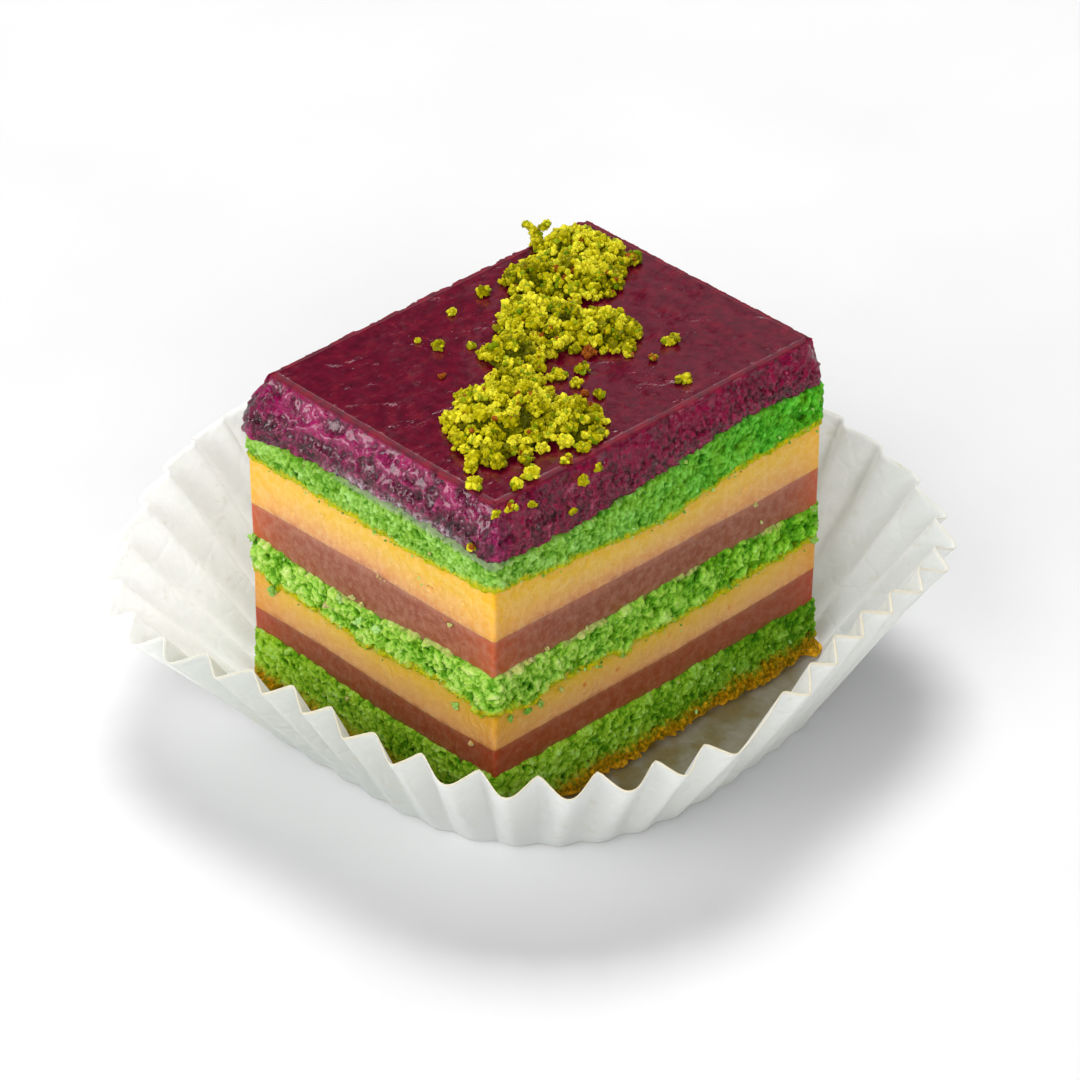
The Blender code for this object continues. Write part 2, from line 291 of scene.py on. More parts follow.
def off_direction(angle, direction):
    """How many degrees an angle is from a direction, either way round."""
    return abs((degrees(angle) - direction + 180) % 360 - 180)


def paper_place(turn, rise):
    """A point of the case's underside, and its marks: how greasy the rim's edge is, and how far
    the base near the cake is soaked and painted in shade."""
    around = Vector((cos(2 * pi * turn), sin(2 * pi * turn), 0.0))
    drift = PLEAT_DRIFT * sin(2 * pi * turn - radians(PLEAT_DRIFT_START))
    drift += PLEAT_WANDER * noise.noise(around * 8 + UP * 3)
    angle = 2 * pi * turn + radians(PLEAT_START + drift)
    away = Vector((cos(angle), sin(angle), 0.0))
    rim = PAPER_RIM_RADIUS
    for lobes, out, start in RIM_LOBES:
        rim += out * cos(lobes * (angle - radians(start)))
    base = PAPER_BASE_RADIUS
    for start, dent in BASE_DENTS:
        base -= dent * cos(pi / 2 * min(1.0, off_direction(angle, start) / DENT_REACH)) ** 2
    opened = ease(rim, RIM_SHUT, RIM_OPEN)
    share = 1 - abs(2 * (turn * PLEATS % 1) - 1)
    past = (turn * PLEATS - WIDE_FOLD) / WIDE_FOLD_PLEATS
    if 0 < past < 1:
        share += (1 - past - share) * ease(rise, 0.35, 0.8)
    fold = pleat(share, between(*INNER_FOLD, opened), between(*OUTER_FOLD, opened))
    row = rise * (BASE_ROWS + WALL_ROWS)
    if row < BASE_ROWS:
        inward = row / BASE_ROWS
        radius = base * inward + fold * PLEAT_DEPTH_BASE * inward**8
        sag = BASE_SAG * (1 + wobble(away * radius, 5)) * ease(1 - inward, 0.0, 0.2)
        return away * radius + UP * sag, (0, 0, 1 - ease(radius - base, -4.5, 0.5))
    along = PAPER_SLANT * (row - BASE_ROWS) / WALL_ROWS
    up = along / PAPER_SLANT
    lean = acos((rim - base) / PAPER_SLANT)
    depth = between(PLEAT_DEPTH_BASE, PLEAT_DEPTH_RIM, up)
    depth *= (1 + 0.16 * noise.noise(around * 12)) * (1 + 0.25 * opened)
    crumpled = 1 - ease(off_direction(angle, CRUMPLED_AT), 15, 40)
    spot = PAPER_BASE_RADIUS * away + UP * along
    crumple = wobble(spot, 3.4, (5, 0, 0)) + 0.5 * wobble(spot, 1.5)
    out = fold * depth + (0.03 + CRUMPLE_DEPTH * crumpled) * up * crumple
    bent = (hypot(along, BASE_BEND) - BASE_BEND) * PAPER_SLANT
    bent /= hypot(PAPER_SLANT, BASE_BEND) - BASE_BEND
    wave = RIM_WAVE * noise.noise(around * 9 + UP * 7) * up
    radius = base + (along + wave) * cos(lean) + out * sin(lean)
    height = (bent + wave) * sin(lean) - out * cos(lean) * ease(along, 0.0, 1.2)
    greased = between(1.0, 0.3, ease(off_direction(angle, GREASED_AT), 40, 95))
    return away * radius + UP * max(height, 0.0), (greased * ease(up, 0.985, 1.0), 0, 0)


PAPER_WHITE = paint(250, 251, 250)
PAPER_SHADE = paint(238, 241, 239)
PAPER_FRONT_SHADE = paint(202, 206, 204)
PAPER_SHADED = paint(192, 197, 194)
PAPER_STAIN = paint(196, 186, 160)
PAPER_GREASE = paint(186, 160, 96)
PAPER_SOAKED_SHADE = paint(152, 138, 96)

paper, shader, place = new_material("greaseproof_paper", soft(
    roughness=0.55, specular=0.3, glow=0.85, through=(1.0, 1.0, 0.95), depth=0.5))
greased, _, soaked_and_shaded = marks_of(place)
mottle = clouds(place, 4.0, 3.0, 0.6)
color = blend(reach(mottle, 0.42, 0.68), PAPER_WHITE, PAPER_SHADE)
# Painted shade: the paper is painted greyer towards the case's front.
front_shade = vectors("DOT_PRODUCT", place, FRONT_SHADE_TOWARD, "Value") + mottle * 8.0
color = blend(reach(front_shade, 0.0, 16.0, 0.0, 0.85), color, PAPER_FRONT_SHADE)
level = vectors("MULTIPLY", place, (1.0, 1.0, 0.0))
away = read(place.tree, "VectorMath", "Vector", {0: level}, operation="NORMALIZE")
toward = vectors("DOT_PRODUCT", away, SHADED_TOWARD, "Value")
color = blend(reach(toward, 0.86, 0.96), color, PAPER_SHADED)
color = blend(reach(clouds(place, 2.6, 5.0, 0.7), 0.6, 0.72) * 0.45, color, PAPER_STAIN)
color = blend(greased * 0.55, color, PAPER_GREASE)
# A grease stain together with painted shade: the base is painted darker brown-grey near the cake.
color = blend(soaked_and_shaded * reach(clouds(place, 3.0, 4.0), 0.3, 0.6, 0.6, 1.0), color, PAPER_SOAKED_SHADE)
creases = read(place.tree, "TexVoronoi", "Distance", {"Vector": place, "Scale": 1 / 3.5},
               feature="DISTANCE_TO_EDGE")
normal = relief(reach(creases, 0.0, 0.12), 0.04)
normal = relief(clouds(place, 0.5, 3.0, 0.6), 0.05, normal)
wire(shader, {"Base Color": color, "Normal": normal})

bm = band(PLEATS * PLEAT_STEPS, BASE_ROWS + WALL_ROWS, paper_place)
case = finish_piece("case_paper", bm, paper, "paper", "paper_case")
sheet = case.modifiers.new("thickness", "SOLIDIFY")
sheet.thickness = PAPER_THICKNESS * MM
sheet.offset = -1.0

# The cream and the chocolate cream. Four soft set layers, spread level between the sponges and
# cut with the cake by one warm knife, so that their faces are smooth and run on from one to the
# next, with a few burst bubbles and crystals.
CAKE_LENGTH = 46.7
CAKE_WIDTH = 36.0
CAKE_ROUND = 2 * (CAKE_LENGTH + CAKE_WIDTH)
CREAM_CORNER = 0.5
CREAM_HOLLOW = 0.12
# How far the first and last row of a layer's side go in under it.
CREAM_TURN_IN = 2.5
BACK_LEAN = Vector((-0.35, 0.5, 0.0))
BACK_LEAN_REACH = 0.4
# Stains as the station of each, its height and its radius.
FACE_MARKS = (
    (1.17, 15.25, 0.5), (1.27, 12.9, 0.45), (1.37, 12.5, 0.4), (1.61, 23.6, 0.35), (0.91, 10.4, 0.5),
    (1.30, 15.0, 0.35), (0.80, 23.5, 0.3), (0.40, 13.5, 0.3), (1.72, 12.3, 0.3), (1.53, 13.2, 0.35),
)
# Height over the table of the top of each layer, at five places along the left face from its back
# edge to the front edge, and at five along the right face from there.
LAYER_TOPS = {
    "sponge_base": ((8.1, 7.7, 7.1, 7.2, 7.6), (7.6, 7.5, 7.35, 7.35, 7.15)),
    "ganache_lower": ((10.65, 10.6, 10.3, 10.4, 10.9), (10.9, 10.8, 10.75, 10.9, 11.2)),
    "cream_lower": ((15.4, 14.6, 14.2, 15.3, 15.1), (15.1, 15.0, 14.5, 14.9, 14.9)),
    "sponge_middle": ((19.8, 19.1, 18.95, 19.8, 20.0), (20.0, 19.9, 19.95, 19.85, 19.4)),
    "ganache_upper": ((23.65, 23.8, 23.9, 23.95, 24.25), (24.25, 24.0, 23.85, 23.8, 23.9)),
    "cream_upper": ((29.3, 29.3, 29.25, 29.35, 30.1), (30.1, 28.95, 27.8, 29.15, 29.2)),
    "sponge_top": ((32.7, 32.8, 33.35, 33.6, 33.3), (33.3, 33.0, 33.8, 35.0, 34.2)),
}
FLOOR_OF_CAKE = 0.15


def back_lean(station):
    """How far the slack left back edge leans out in plan at a station."""
    return BACK_LEAN * (1 - ease(min(station % 4, 4 - station % 4), 0.0, BACK_LEAN_REACH))


def cut_side(turn, corner):
    """The place in plan, the outward direction and the station of a point part of the way round
    the cut sides. Stations 0 to 1 are the left face, 1 to 2 the right face, and so on round."""
    bend = pi / 2 * corner
    gone = turn * (2 * (CAKE_LENGTH + CAKE_WIDTH - 4 * corner) + 4 * bend)
    corners = ((-1, 1), (-1, -1), (1, -1), (1, 1))
    for face in range(4):
        straight = (CAKE_LENGTH if face % 2 else CAKE_WIDTH) - 2 * corner
        if gone <= straight + bend or face == 3:
            break
        gone -= straight + bend
    facing = Vector(((-1, 0, 0), (0, -1, 0), (1, 0, 0), (0, 1, 0))[face])
    along = Vector((-facing.y, facing.x, 0))
    start = Vector((corners[face][0] * CAKE_LENGTH / 2, corners[face][1] * CAKE_WIDTH / 2, 0))
    into = min(max(gone - bend / 2, 0.0), straight)
    turned = (min(gone, bend / 2) + max(gone - bend / 2 - straight, 0.0) - bend / 2) / corner
    away = facing * cos(turned) + along * sin(turned)
    middle = start + along * (corner + into) - facing * corner
    station = face + gone / (straight + bend)
    return middle + away * corner + back_lean(station), away, station


def through(values, share):
    """A smooth curve through evenly spaced values."""
    steps = len(values) - 1
    index = min(steps - 1, max(0, int(share * steps)))
    part = share * steps - index
    before = values[max(0, index - 1)]
    start, end = values[index], values[index + 1]
    after = values[min(steps, index + 2)]
    slope, slope_end = (end - before) / 2, (after - start) / 2
    drop = start - end
    return start + slope * part + (-3 * drop - 2 * slope - slope_end) * part**2 + (
        2 * drop + slope + slope_end) * part**3


def layer_top(name, station):
    """Height of a layer's top at a station. The two hidden faces mirror the two shown."""
    left, right = LAYER_TOPS[name]
    back = left[0] + right[4] - left[4]
    station %= 4
    if station < 1:
        return through(left, station)
    if station < 2:
        return through(right, station - 1)
    if station < 3:
        share = 3 - station
        return through(right, share) - between(right[0], right[4], share) + between(back, right[4], share)
    share = 4 - station
    return through(left, share) - between(left[0], left[4], share) + between(left[0], back, share)


def knife_face(point):
    """How far the knife left the cream's face out, in millimetres."""
    drag = Vector((point.x / 0.7, point.y / 0.7, point.z / 9))
    return 0.12 * wobble(point, 7.0) + 0.02 * noise.noise(drag)


# Burst bubbles as the station of each, its height, its width and its depth.
BUBBLES = (
    (0.30, 27.2, 0.6, 0.4), (0.744, 26.1, 0.85, 0.62), (0.18, 25.3, 0.8, 0.2), (0.70, 26.9, 0.4, 0.25),
    (0.61, 27.6, 0.35, 0.25), (0.47, 26.4, 0.35, 0.24), (0.88, 26.9, 0.4, 0.22), (1.756, 26.2, 1.0, 0.22),
    (1.16, 23.9, 0.45, 0.2), (1.20, 21.3, 0.6, 0.2), (1.62, 22.0, 0.4, 0.2), (1.30, 12.6, 0.3, 0.14),
    (0.35, 12.4, 0.3, 0.15), (0.75, 12.0, 0.35, 0.12), (1.55, 12.2, 0.3, 0.12), (1.1, 9.0, 0.4, 0.15),
    (0.25, 21.8, 0.3, 0.12), (0.5, 21.0, 0.25, 0.12), (1.4, 8.8, 0.35, 0.16), (0.6, 8.6, 0.3, 0.12),
)


def bubble_depth(station, height):
    """Depth of the burst bubble a point is in, if any, and its smooth raised lip."""
    depth = 0.0
    for middle, level, width, deep in BUBBLES:
        length = CAKE_WIDTH if middle < 1 else CAKE_LENGTH
        off = hypot((station - middle) * length, (height - level) * 1.2) / (width / 2 + 0.1)
        if off < 1.5:
            depth += deep * (1 - ease(off, 0.35, 1.0)) - 0.2 * deep * (1 - ease(abs(off - 1.1), 0.0, 0.3))
    return depth


def close_ends(bm):
    """Put one flat face over each open end."""
    bmesh.ops.holes_fill(bm, edges=[e for e in bm.edges if e.is_boundary], sides=0)


def cream_layer(name, below, step, sink_top, sink_foot):
    """A set layer between two heights. It runs on up and down behind the sponge at its side by
    the two sinks."""
    rows = round((6.5 if name == "cream_upper" else 4.6) / step) + 2
    cap = 1.0 / rows

    def place(turn, rise):
        flat, away, station = cut_side(turn, CREAM_CORNER)
        foot, top = layer_top(below, station), layer_top(name, station)
        height = between(foot - sink_foot, top + sink_top, held((rise - cap) / (1 - 2 * cap)))
        point = flat + UP * height
        out = knife_face(point) - CREAM_HOLLOW - bubble_depth(station, height)
        if rise < cap / 2 or rise > 1 - cap / 2:
            out -= CREAM_TURN_IN
        length = CAKE_LENGTH if int(station) % 2 else CAKE_WIDTH
        corner = min(station % 1, 1 - station % 1) * length
        # Painted glow: the cream is painted warmer near each corner, less so at the front corner.
        glow = exp(-corner / 3.0) * (1 - 0.35 * exp(-abs(station - 1) * length / 8))
        stain = 0.0
        for middle, level, width in FACE_MARKS:
            off = hypot((station - middle) * length, height - level)
            stain = max(stain, 1 - ease(off, 0.3 * width, width))
        return point + away * out, ((height - foot) / (top - foot), glow, stain)

    bm = band(round(CAKE_ROUND / step), rows, place)
    close_ends(bm)
    for edge in bm.edges:
        edge.smooth = edge.calc_face_angle(0.0) < 0.7
    return bm


def speckle_group():
    """Scattered fine specks, as a mask, for anything that holds crystals or crumb."""
    tree = bpy.data.node_groups.new("fine_specks", "ShaderNodeTree")
    for name, kind, way in (("Place", "Vector", "INPUT"), ("Spacing", "Float", "INPUT"),
                            ("Size", "Float", "INPUT"), ("Mask", "Float", "OUTPUT")):
        tree.interface.new_socket(name, in_out=way, socket_type="NodeSocket" + kind)
    given = tree.nodes.new("NodeGroupInput").outputs
    place, spacing, size = (Reading(given[name]) for name in ("Place", "Spacing", "Size"))
    dots = put(tree, "TexVoronoi", {"Vector": place, "Scale": 1.0 / spacing}).outputs
    own = read(tree, "SeparateColor", 0, {"Color": Reading(dots["Color"])})
    limit = size * (own + 0.3)
    mask = reach(Reading(dots["Distance"]), limit * 0.5, limit, 1.0, 0.0)
    wire(tree.nodes.new("NodeGroupOutput"), {"Mask": mask})
    return tree


fine_specks = speckle_group()


def specks(place, spacing, size):
    """Where a material has fine specks, by the group above."""
    sockets = {"Place": place, "Spacing": spacing, "Size": size}
    return read(place.tree, "Group", "Mask", sockets, node_tree=fine_specks)


def cream_material(name, stops, painted_glow_color, painted_glow_share, fleck_color, fleck_share, mottle):
    """Satin set cream, coloured by its height in the layer, and painted warmer near the cake's
    corners as a painted glow of the light that comes through there."""
    material, shader, place = new_material(name, soft(
        roughness=0.38, specular=0.3, glow=0.35, through=(1.6, 0.8, 0.3), depth=0.6))
    shown, edge, stain = marks_of(place)
    color = ramp(shown + (clouds(place, 2.4, 4.0, 0.6) - 0.5) * 0.35, *stops)
    # Painted glow near the corners.
    color = blend(edge * painted_glow_share, color, painted_glow_color)
    patches = reach(clouds(place, 0.9, 3.0, 0.65), 0.4, 0.65, 0.0, mottle)
    color = blend(patches, color, fleck_color)
    mask = specks(place, 0.7, 0.13)
    color = blend(mask * fleck_share, color, fleck_color)
    color = blend(stain * reach(clouds(place, 0.35, 3.0), 0.35, 0.55), color, STAIN_ORANGE)
    shine = reach(clouds(place, 1.2, 4.0, 0.6), 0.3, 0.7, 0.28, 0.5)
    normal = relief(mask, 0.09, relief(clouds(place, 0.9, 5.0, 0.7), 0.2))
    wire(shader, {"Base Color": color, "Roughness": shine, "Normal": normal})
    return material


STAIN_ORANGE = paint(206, 104, 20)
CREAM_FLECK = paint(250, 222, 160)
upper_cream = cream_material(
    "upper_yellow_cream",
    ((0.0, 196, 120, 84), (0.07, 216, 146, 92), (0.35, 226, 170, 86), (0.7, 230, 184, 58),
     (0.93, 228, 178, 28), (1.0, 204, 172, 20)),
    paint(246, 178, 0), 0.88, CREAM_FLECK, 0.6, 0.26)
lower_cream = cream_material(
    "lower_yellow_cream",
    ((0.0, 188, 116, 70), (0.08, 212, 150, 92), (0.45, 220, 168, 80), (0.8, 222, 178, 46),
     (0.95, 210, 176, 20), (1.0, 180, 166, 14)),
    paint(222, 140, 0), 0.8, CREAM_FLECK, 0.5, 0.16)
upper_chocolate = cream_material(
    "upper_chocolate_cream",
    ((0.0, 136, 88, 46), (0.12, 138, 70, 42), (0.8, 143, 76, 54), (1.0, 168, 104, 80)),
    paint(208, 84, 8), 0.85, paint(196, 146, 122), 0.75, 0.34)
lower_chocolate = cream_material(
    "lower_chocolate_cream",
    ((0.0, 116, 72, 10), (0.15, 130, 54, 10), (0.8, 138, 60, 22), (1.0, 150, 84, 48)),
    paint(176, 52, 0), 0.85, paint(176, 120, 92), 0.75, 0.3)

finish_piece("cream_upper_set", cream_layer("cream_upper", "ganache_upper", 0.22, 0.7, 0.0),
             upper_cream, "cream", "cream_upper")
finish_piece("cream_lower_set", cream_layer("cream_lower", "ganache_lower", 0.25, 0.7, 0.0),
             lower_cream, "cream", "cream_lower")
finish_piece("chocolate_upper_set", cream_layer("ganache_upper", "sponge_middle", 0.25, 0.0, 0.5),
             upper_chocolate, "ganache", "ganache_upper")
finish_piece("chocolate_lower_set", cream_layer("ganache_lower", "sponge_base", 0.25, 0.0, 0.5),
             lower_chocolate, "ganache", "ganache_lower")

# The three green sponges. Light baked sponge, torn a little by the knife into moist grains and
# pores. Its lower side keeps a thin yellow skin, and the lowest sponge a browned crust with
# crags that stand out over the paper.
SPONGE_STEP = 0.15
SPONGE_CORNER = 0.8
# How far a sponge stands out of the cut, how far its ragged ends lie back from it, and how far
# its first and last row do.
SPONGE_PROUD = 0.3
SPONGE_SUNK = -0.45
SPONGE_TURN_IN = -3.0
CRUST_FOOT = 0.75
CRUST_TOP = ((3.0, 2.7, 2.3, 2.2, 2.2), (2.2, 2.3, 2.1, 2.5, 2.5))
# Each sponge, from the top one down: the layer below it, its seed and how coarsely it tore.
SPONGES = (("sponge_top", "cream_upper", 3, 0.6), ("sponge_middle", "cream_lower", 11, 1.15),
           ("sponge_base", None, 17, 0.95))
# Lumps of the middle sponge that hang over the cream: the station, the reach and the drop of each.
HANGING = ((0.09, 0.035, 1.1), (0.93, 0.06, 0.7), (1.1, 0.05, 1.0), (1.385, 0.03, 0.8), (0.45, 0.04, 0.5))


def lumps(point, size, seed):
    """Broken crumbs about `size` across, each with its own height and tilt, from -1 to 1."""
    spot = point / size + Vector((seed, 2 * seed, 3 * seed))
    spots, middles = noise.voronoi(spot)
    own = noise.cell(middles[0] * 9.0)
    tilt = noise.cell_vector(middles[0] * 5.0) - Vector((0.5, 0.5, 0.5))
    groove = ease(spots[1] - spots[0], 0.0, 0.22)
    return groove * (0.65 + 0.5 * own + 1.3 * tilt.dot(spot - middles[0])) - 0.45 - 0.25 * spots[0]


def pores(point, size, share, seed):
    """Depth from 0 to 1 of scattered pores about a third of `size` across."""
    spots, middles = noise.voronoi(point / size + Vector((3 * seed, seed, 2 * seed)))
    if noise.cell(middles[0] * 7.0) > 2 * share - 1:
        return 0.0
    return 1 - ease(spots[0], 0.08, 0.38)


def stirred(point, size, depth, seed=0):
    """A point moved about a little, so that the forms made round it don't lie in order."""
    far = point / size + Vector((seed, 0, 0))
    return point + depth * Vector((noise.noise(far), noise.noise(far.yzx), noise.noise(far.zxy)))


def crumb_relief(point, seed, coarse):
    """How far torn sponge stands out at a point, in millimetres. Each part of it is a depth, times
    a form of the size that follows."""
    coarse *= 1 + 0.35 * ease(point.x, 5.0, 22.0)
    bent = stirred(point, 0.9, 0.3, seed)
    out = coarse * (0.2 * lumps(bent, 1.9, seed) + 0.14 * lumps(bent, 1.0, seed + 5))
    out += 0.09 * lumps(bent, 0.5, seed + 9) + 0.1 * wobble(point, 3.5)
    out += 0.22 * wobble(bent, 0.7, (0, seed, 0)) + 0.16 * wobble(point, 0.33)
    return out - coarse * 0.42 * pores(bent, 1.5, 0.42, seed) - 0.28 * pores(bent, 0.75, 0.5, seed + 3)


def sponge_layer(name, below, seed, coarse):
    """A sponge between two heights. Beyond its ragged edges it goes on behind its neighbours."""
    rows = round((6.7 if below else 8.2) / SPONGE_STEP)
    cap = 1.0 / rows

    def place(turn, rise):
        flat, away, station = cut_side(turn, SPONGE_CORNER)
        high = layer_top(name, station)
        low = layer_top(below, station) if below else CRUST_FOOT
        start = low - 1.2 if below else FLOOR_OF_CAKE
        height = between(start, high + 0.6, held((rise - cap) / (1 - 2 * cap)))
        point = flat + UP * height
        stands = crumb_relief(point, seed, coarse)
        fray = 0.4 * wobble(point, 1.7, (seed, 0, 0)) + 0.24 * wobble(point, 0.7, (0, seed, 0))
        foot = height - low - fray
        head = high - height + 0.5 * fray
        if below == "cream_lower":
            for middle, spread, drop in HANGING:
                foot += drop * (1 - ease(abs(station - middle), 0.2 * spread, spread))
        out = SPONGE_PROUD + stands
        skin = 1 - ease(foot, 0.15, 1.3)
        top_skin = 1 - ease(head, 0.1, 1.0)
        if below is None:
            browned = through(CRUST_TOP[int(station) % 2], station % 1)
            crust = 1 - ease(height - 1.3 * fray, browned - 0.6, browned + 0.5)
            crag = 0.55 * lumps(point, 2.4, 21) + 0.3 * lumps(point, 1.0, 22)
            out += crust * (0.45 + crag - stands * 0.75)
            foot -= 0.55 * wobble(point, 2.2, (0, 0, 5))
            skin = 0.5 * crust + 0.5 * (1 - ease(height - fray, browned, browned + 2.0))
            top_skin = 1 - ease(height + 0.8 * fray, 0.7, 1.9)
        elif name == "sponge_top":
            top_skin *= ease(station % 4, 0.25, 0.45) * (1 - 0.6 * ease(station % 4, 0.95, 1.1))
        else:
            top_skin *= ease(wobble(point, 5, (0, 0, seed)), -0.1, 0.2)
        out = between(SPONGE_SUNK, out, ease(foot, -0.3, 0.2) * ease(head, -0.25, 0.25))
        if rise < cap / 2 or rise > 1 - cap / 2:
            out = SPONGE_TURN_IN
        shift = 0.12 * wobble(point, 0.7, (7, 7, 7))
        return point + away * out + UP * shift, (held(0.5 + 1.1 * stands), skin, top_skin)

    bm = band(round(CAKE_ROUND / SPONGE_STEP), rows, place)
    close_ends(bm)
    return bm


def along_cake(place):
    """How far along the cake a point is, in millimetres."""
    return read(place.tree, "SeparateXYZ", 0, {0: place})


WARM_GREEN = paint(166, 196, 10)
PALE_GRAIN = paint(214, 240, 160)
SEED_BROWN = paint(90, 50, 20)


def sponge_material(name, greens, right_face_greens, skin_stops, top_color, top_share):
    """Moist green sponge, painted dark in its pores and pale on its raised grains, as painted
    shade and light. Its greens go from the left face's paler ones to darker ones along the right
    face, as painted light and shade, and its lower and upper skins have their own colours."""
    material, shader, place = new_material(name, soft(
        roughness=0.5, specular=0.06, glow=0.5, through=(1.0, 1.2, 0.2), depth=0.5))
    stands, skin, top = marks_of(place)
    grain = clouds(place, 0.4, 4.0, 0.65)
    # Painted light and shade: raised grains are painted paler and pores darker.
    lit = stands * 0.7 + grain * 0.6 - 0.05
    # Painted light and shade: paler greens on the left face, darker ones along the right face.
    color = blend(reach(along_cake(place), -20.0, 20.0) * 0.75, ramp(lit, *greens), ramp(lit, *right_face_greens))
    color = blend(reach(clouds(place, 2.2, 2.0), 0.4, 0.7) * 0.16, color, WARM_GREEN)
    torn = skin + (grain - 0.5) * 1.3
    color = blend(reach(torn, 0.25, 0.95), color, ramp(grain, *skin_stops))
    pale = top + (grain - 0.5) * 1.4
    color = blend(reach(pale, 0.4, 1.0) * top_share, color, top_color)
    color = blend(specks(place, 0.45, 0.14) * 0.3, color, PALE_GRAIN)
    color = blend(specks(place, 3.4, 0.06) * 0.9, color, SEED_BROWN)
    shine = reach(clouds(place, 0.7, 3.0), 0.35, 0.65, 0.3, 0.7)
    normal = relief(clouds(place, 0.3, 3.0, 0.7), 0.14)
    normal = relief(clouds(place, 0.8, 5.0, 0.75), 0.2, normal)
    wire(shader, {"Base Color": color, "Roughness": shine, "Normal": normal})
    return material


# The first three ramps are the left face's greens, painted paler as painted light; the three after them are
# the right face's, painted darker as painted shade.
BRIGHT_GREENS = ((0.22, 12, 76, 0), (0.42, 78, 142, 28), (0.6, 140, 188, 76), (0.8, 174, 222, 130),
                 (1.0, 220, 240, 188))
MINT_GREENS = ((0.22, 14, 86, 2), (0.4, 94, 160, 28), (0.56, 160, 210, 80), (0.76, 204, 234, 128),
               (1.0, 230, 246, 190))
DEEP_GREENS = ((0.22, 8, 78, 0), (0.42, 92, 152, 12), (0.6, 158, 200, 52), (0.8, 176, 224, 116),
               (1.0, 220, 242, 170))
SHADED_TOP_GREENS = ((0.25, 0, 72, 0), (0.5, 4, 150, 0), (0.75, 60, 206, 16), (1.0, 130, 244, 70))
SHADED_MINT_GREENS = ((0.25, 14, 84, 0), (0.48, 70, 160, 0), (0.72, 134, 214, 20), (1.0, 166, 246, 90))
SHADED_BASE_GREENS = ((0.25, 4, 54, 0), (0.5, 34, 110, 0), (0.75, 84, 148, 0), (1.0, 140, 194, 14))
YELLOW_SKIN = ((0.3, 136, 150, 0), (0.5, 186, 184, 12), (0.7, 220, 186, 20))
BROWNED_SKIN = ((0.3, 92, 78, 0), (0.45, 138, 108, 0), (0.6, 200, 146, 4), (0.75, 246, 194, 40))
top_sponge = sponge_material("top_sponge", BRIGHT_GREENS, SHADED_TOP_GREENS, YELLOW_SKIN,
                             paint(150, 160, 134), 0.75)
middle_sponge = sponge_material("middle_sponge", MINT_GREENS, SHADED_MINT_GREENS, YELLOW_SKIN,
                                paint(200, 186, 124), 0.6)
base_sponge = sponge_material("base_sponge", DEEP_GREENS, SHADED_BASE_GREENS, BROWNED_SKIN,
                              paint(236, 172, 34), 0.75)
for sponge, material in zip(SPONGES, (top_sponge, middle_sponge, base_sponge)):
    finish_piece(sponge[0] + "_baked", sponge_layer(*sponge), material, "sponge", sponge[0], smooth=False)

# The loose crumbs that the knife pulled out of the sponges. They cling to the cut faces, most
# along the lower edges, and a few hang on the cream below.
LOOSE = 190
# Crumbs that stand apart: the station, the height, the radius, the tone and how tan each is.
BITS = (
    (0.31, 16.6, 0.5, 1.0, 0.9), (0.09, 14.2, 0.55, 0.6, 0.0), (0.704, 26.9, 0.16, 0.9, 0.0),
    (0.715, 26.3, 0.14, 0.9, 0.0), (0.83, 23.5, 0.3, 0.8, 0.6), (0.91, 10.4, 0.3, 0.5, 1.0),
    (0.42, 19.3, 0.4, 0.9, 0.7), (0.46, 19.2, 0.36, 0.9, 0.7), (0.37, 18.4, 0.5, 0.9, 0.1),
    (0.45, 16.8, 0.6, 0.9, 0.0), (0.52, 17.5, 0.55, 0.9, 0.0), (0.85, 14.0, 0.45, 0.7, 0.0),
    (1.04, 14.3, 0.4, 0.5, 0.0), (1.09, 14.0, 0.45, 0.4, 0.0), (1.13, 13.9, 0.4, 0.5, 0.2),
    (1.19, 14.3, 0.3, 0.6, 0.6), (1.38, 14.1, 0.35, 0.5, 0.0), (1.79, 23.7, 0.3, 0.9, 0.7),
    (1.81, 21.2, 0.24, 0.9, 0.5), (1.15, 20.2, 0.3, 0.9, 0.8), (1.1, 20.1, 0.28, 0.9, 0.8),
    (1.27, 20.1, 0.3, 0.9, 0.7), (1.49, 28.2, 0.3, 0.6, 0.1), (1.4, 28.3, 0.26, 0.6, 0.2),
    (1.98, 19.0, 0.5, 0.6, 0.0), (1.985, 15.2, 0.45, 0.6, 0.0), (1.99, 17.0, 0.4, 0.5, 0.0),
    (0.01, 19.4, 0.45, 0.6, 0.0), (0.015, 17.2, 0.45, 0.6, 0.0), (0.01, 30.8, 0.4, 0.6, 0.0),
    (0.53, 24.0, 0.2, 1.0, 1.0), (0.545, 23.95, 0.16, 1.0, 1.0), (0.56, 23.9, 0.12, 1.0, 1.0),
)
draw = random.Random(8)


def add_grain(bm, middle, radius, tone, kind, stretch=(1, 1, 1)):
    """One broken grain. Its marks are its own tone, its kind and its chance."""
    turn = Euler([draw.uniform(0, 6.28) for _ in range(3)]).to_matrix().to_4x4()
    shape = Matrix.Translation(middle) @ turn @ Matrix.Diagonal((*stretch, 1))
    made = bmesh.ops.create_icosphere(bm, subdivisions=1, radius=radius)["verts"]
    marks = bm.verts.layers.float_color["marks"]
    chance = draw.random()
    for vert in made:
        bump = draw.uniform(-0.3, 0.3)
        vert.co = shape @ (vert.co * (1 + bump))
        # Painted light and shade: points pushed out are painted a little lighter, points pulled in a little
        # darker.
        vert[marks] = (held(tone + 0.3 * bump), kind, chance, 1.0)


def any_way():
    """A direction drawn at random."""
    return Vector([draw.gauss(0, 1) for _ in range(3)]).normalized()


def join_into(whole, part):
    """Add a finished part to a piece that is being built up."""
    mesh = bpy.data.meshes.new("part")
    part.to_mesh(mesh)
    part.free()
    whole.from_mesh(mesh)
    bpy.data.meshes.remove(mesh)


